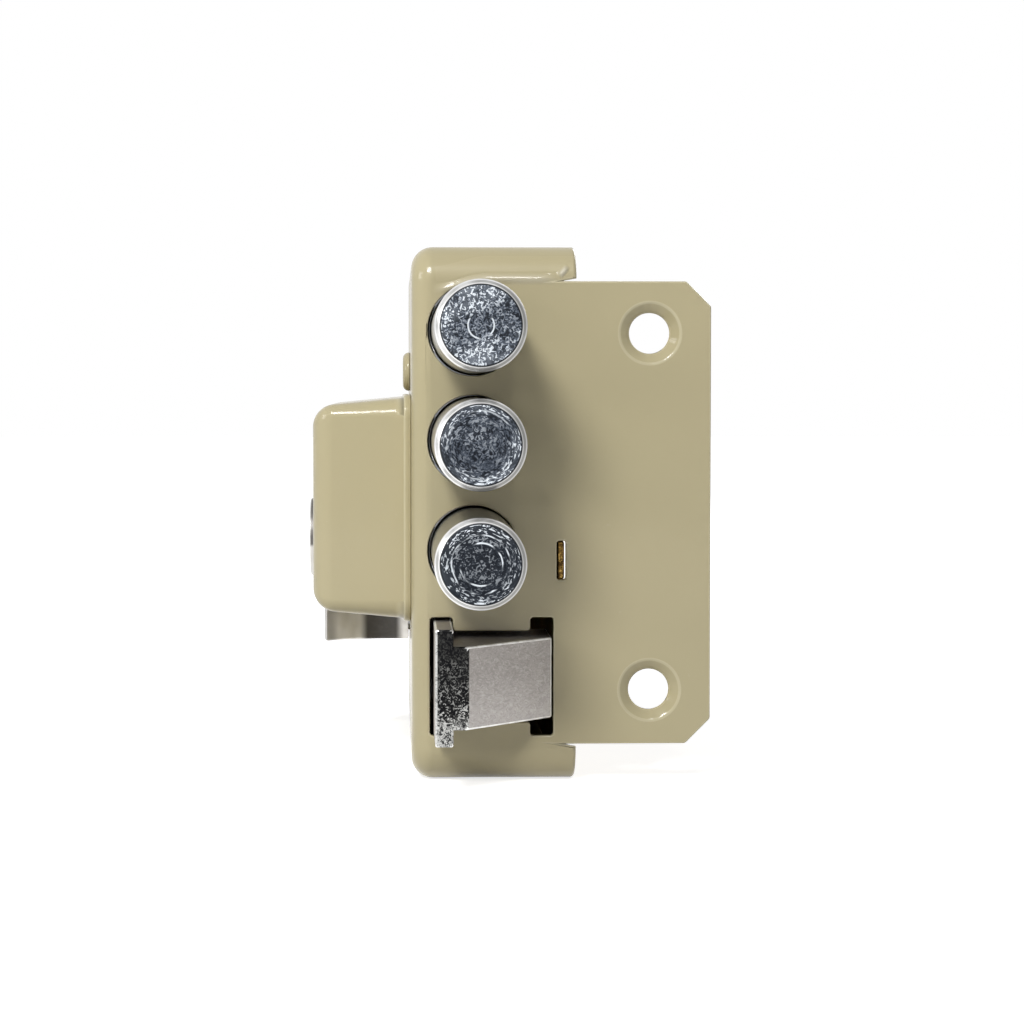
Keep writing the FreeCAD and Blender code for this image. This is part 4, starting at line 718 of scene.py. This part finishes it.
def add_piece(name, shape, body, finish):
    """A piece from a form: smooth, with even light over its flat faces, riding on its body."""
    for face in shape.faces:
        face.smooth = True
    mesh = bpy.data.meshes.new(name)
    shape.to_mesh(mesh)
    shape.free()
    piece = bpy.data.objects.new(name, mesh)
    scene.collection.objects.link(piece)
    mesh.materials.append(finish)
    even = piece.modifiers.new("even_light", "WEIGHTED_NORMAL")
    even.keep_sharp = True
    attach(piece, body)
    return piece


# %% The housing's skin
HOUSING_BOSSES = [Vector((0, y, z)) * MM for y in (16.5, 79.5) for z in (-14.5, 14.5)]
HOUSING_BOSS_RADIUS = 3.5 * MM
HOUSING_ROOF = -69.0 * MM


def over_boss(face, boss):
    reach = HOUSING_BOSS_RADIUS + CLEAR_OF_FACE
    return all((vert.co.yz - boss.yz).length < reach for vert in face.verts)


def is_boss_sliver(face):
    """Whether a face lies out towards the housing's roof and wholly over one of the bosses."""
    beyond = max(vert.co.x for vert in face.verts) < HOUSING_ROOF
    return beyond and any(over_boss(face, boss) for boss in HOUSING_BOSSES)


def close_housing_skin(shape):
    """Takes off the slivers of the screw bosses in the round corners, and closes the skin."""
    slivers = [face for face in shape.faces if is_boss_sliver(face)]
    bmesh.ops.delete(shape, geom=slivers, context="FACES")
    rims = [edge for edge in shape.edges if edge.is_boundary]
    bmesh.ops.holes_fill(shape, edges=rims, sides=0)
    return len(slivers)


# %% Shells over the nodes
SHELL_WIDTHS = {
    "case": 0.35, "housing": 0.4, "guide_stud": 0.2, "cylinder_body": 0.25, "cylinder_plug": 0.12,
    "thumb_piece": 0.08, "latch_bolt": 0.42, "latch_tail": 0.25, "latch_bracket": 0.25,
    "upper_bolt": 0.12, "middle_bolt": 0.12, "lower_bolt": 0.12, "bolt_guide": 0.2,
    "carriage": 0.12, "cover_plate": 0.2, "door_posts": 0.2, "cover_posts": 0.15,
    "cover_screws": 0.15,
}
SHELL_STEPS = 2


def add_shell(node, width):
    """A shell with rounded edges that takes the place of a node."""
    shape = bmesh.new()
    shape.from_mesh(nodes[node].data)
    shape.normal_update()
    bmesh.ops.remove_doubles(shape, verts=shape.verts, dist=SAME_POINT)
    bmesh.ops.dissolve_limit(shape, angle_limit=SAME_PLANE, verts=shape.verts, edges=shape.edges)
    if node == "housing":
        print("boss slivers taken off:", close_housing_skin(shape))
    soften(shape, width * MM, SHELL_STEPS)
    piece = add_piece(node + "_shell", shape, BODY_OF[node], finish_for(node))
    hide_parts(node)
    return piece


for node, width in SHELL_WIDTHS.items():
    print(node, "faces:", len(add_shell(node, width).data.polygons))
for node in nodes:
    if node not in SHELL_WIDTHS:
        nodes[node].data.materials.clear()
        nodes[node].data.materials.append(finish_for(node))

# %% [markdown]
# ## The latch spring
#
# A wound spring pushes the latch out. It is drawn wire with its end turns closed, so each end
# bears flat, and it rests between the back of the latch and the bracket. A curve with a round
# section would do, but its ends would need caps of their own. Spinning a wire section round
# the rod while it climbs gives one closed mesh. On the real lock, when the latch goes in, the
# spring's front end goes with it and its back end stays, so the coil is squashed towards the
# bracket; here the coil rides on the case and keeps its length.

# %% Latch spring
SPRING_AXIS = Vector((-33.0, 0.0, -34.6)) * MM
SPRING_FRONT, SPRING_BACK = 14.1 * MM, 41.9 * MM
SPRING_RADIUS = 4.45 * MM
SPRING_WIRE = 0.9 * MM
OPEN_TURNS = 6
CLOSED_RISE = 1.05 * MM
TURN_STEPS = 36
WIRE_SIDES = 14


def wind_spring():
    """A wound spring: a closed turn, open turns, and a closed turn, in one wire."""
    shape = bmesh.new()
    section = bmesh.ops.create_circle(shape, cap_ends=False, segments=WIRE_SIDES,
                                      radius=SPRING_WIRE / 2)["verts"]
    start = SPRING_AXIS + Vector((SPRING_RADIUS, SPRING_FRONT + SPRING_WIRE / 2, 0))
    bmesh.ops.translate(shape, verts=section, vec=start)
    last = section + list({edge for vert in section for edge in vert.link_edges})
    open_rise = SPRING_BACK - SPRING_FRONT - SPRING_WIRE - 2 * CLOSED_RISE
    for turns, rise in ((1, CLOSED_RISE), (OPEN_TURNS, open_rise), (1, CLOSED_RISE)):
        steps = turns * TURN_STEPS
        last = bmesh.ops.spin(shape, geom=last, cent=SPRING_AXIS, axis=(0, 1, 0),
                              angle=2 * pi * turns, steps=steps, dvec=(0, rise / steps, 0),
                              use_merge=False)["geom_last"]
    ends = [edge for edge in shape.edges if edge.is_boundary]
    bmesh.ops.holes_fill(shape, edges=ends, sides=0)
    bmesh.ops.recalc_face_normals(shape, faces=shape.faces)
    return shape


spring = add_piece("latch_spring_coil", wind_spring(), "case", FINISHES["spring_steel"])
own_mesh(spring)
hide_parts("latch_spring")
print("spring faces:", len(spring.data.polygons))

# %% [markdown]
# ## Floor, backdrop and lamps
#
# The floor is a large plain plane in the colour of the backdrop. It and the world are white
# where the camera, a metal or glass looks at them, and softer where they light the lock, but
# the floor keeps the lock's shadow. What a metal reflects on to the paint beside it doesn't
# count as looking, or the white would brighten that paint.
#
# The key lamp stands high at the left, so the thrown bolts shade the plate to their right and
# each other. A small top lamp draws the thin highlight along the press mark, a low lamp at the
# left lights the housing, and one behind lights the sides that are turned away.

# %% Floor and world
FLOOR_SIZE = 6.0
FLOOR_COLOUR = (0.85, 0.85, 0.85, 1)
FLOOR_GLOW_NEAR, FLOOR_GLOW_FAR = 0.74, 0.985
FLOOR_GLOW_START, FLOOR_GLOW_STOP = 0.25, 1.5
WHITE = (1, 1, 1, 1)
WORLD_COLOUR = (0.97, 0.98, 1.0, 1.0)
WORLD_LIGHT = 0.10


def seen_directly(tree):
    """One for rays from the camera, and from metal or glass that the camera sees."""
    path = tree.nodes.new("ShaderNodeLightPath")

    def math(operation, a, b):
        node = tree.nodes.new("ShaderNodeMath")
        node.operation = operation
        tree.links.new(a, node.inputs[0])
        if isinstance(b, float):
            node.inputs[1].default_value = b
        else:
            tree.links.new(b, node.inputs[1])
        return node.outputs[0]

    seen = path.outputs["Is Camera Ray"]
    for ray in ("Is Glossy Ray", "Is Transmission Ray"):
        seen = math("MAXIMUM", seen, path.outputs[ray])
    return math("MULTIPLY", seen, math("LESS_THAN", path.outputs["Diffuse Depth"], 0.5))


def add_floor(height):
    """A large plain floor: it takes a faint shadow and is otherwise as white as the backdrop."""
    shape = bmesh.new()
    bmesh.ops.create_grid(shape, x_segments=1, y_segments=1, size=FLOOR_SIZE / 2)
    bmesh.ops.translate(shape, verts=shape.verts, vec=(0, 0, height))
    mesh = bpy.data.meshes.new("floor")
    shape.to_mesh(mesh)
    shape.free()
    floor = bpy.data.objects.new("floor", mesh)
    scene.collection.objects.link(floor)
    finish = Finish("floor_white")
    x, y, _ = finish.axes()
    away = finish.math("SQRT", finish.plus(finish.times(x, x), finish.times(y, y)))
    glow = finish.ramp(away, FLOOR_GLOW_START, FLOOR_GLOW_STOP, FLOOR_GLOW_NEAR, FLOOR_GLOW_FAR)
    shown = finish.times(seen_directly(finish.tree), glow)
    finish.set(Base_Color=FLOOR_COLOUR, Roughness=0.9, Specular_IOR_Level=0.2,
               Emission_Color=WHITE, Emission_Strength=shown)
    mesh.materials.append(finish.material)
    return floor


def add_world():
    """A world that lights the lock softly and looks white."""
    world = bpy.data.worlds.new("studio")
    world.use_nodes = True
    tree = world.node_tree
    soft = tree.nodes["Background"]
    soft.inputs["Color"].default_value = WORLD_COLOUR
    soft.inputs["Strength"].default_value = WORLD_LIGHT
    white = tree.nodes.new("ShaderNodeBackground")
    white.inputs["Color"].default_value = WHITE
    mix = tree.nodes.new("ShaderNodeMixShader")
    tree.links.new(seen_directly(tree), mix.inputs["Fac"])
    tree.links.new(soft.outputs[0], mix.inputs[1])
    tree.links.new(white.outputs[0], mix.inputs[2])
    tree.links.new(mix.outputs[0], tree.nodes["World Output"].inputs["Surface"])
    scene.world = world


print("floor at z = %.1f mm" % (add_floor(cad_box[0][2]).data.vertices[0].co.z / MM))
add_world()

# %% Lamps
LAMPS = {
    "key_lamp": {"place": (-0.32, -0.60, 0.58), "target": (0, 0, 0), "size": 0.24, "power": 6.2},
    "top_lamp": {"place": (0.03, -0.55, 0.63), "target": (0, 0, 0), "size": 0.085, "power": 0.50},
    "left_lamp": {"place": (-0.85, -0.24, 0.30), "target": (0, 0, 0), "size": 0.3, "power": 1.6},
    "back_lamp": {"place": (0.50, 0.85, 0.40), "target": (0, 0.05, 0), "size": 0.5, "power": 3.5},
}


def add_lamp(name, place, target, size, power):
    """A square area lamp that faces a point."""
    light = bpy.data.lights.new(name, "AREA")
    light.size = size
    light.energy = power
    lamp = bpy.data.objects.new(name, light)
    scene.collection.objects.link(lamp)
    lamp.location = place
    lamp.rotation_euler = (Vector(target) - Vector(place)).to_track_quat("-Z", "Y").to_euler()
    return lamp


for name, lamp in LAMPS.items():
    add_lamp(name, **lamp)
print("lamps:", sorted(LAMPS))

# %% Finish
scene.view_settings.view_transform = "Standard"
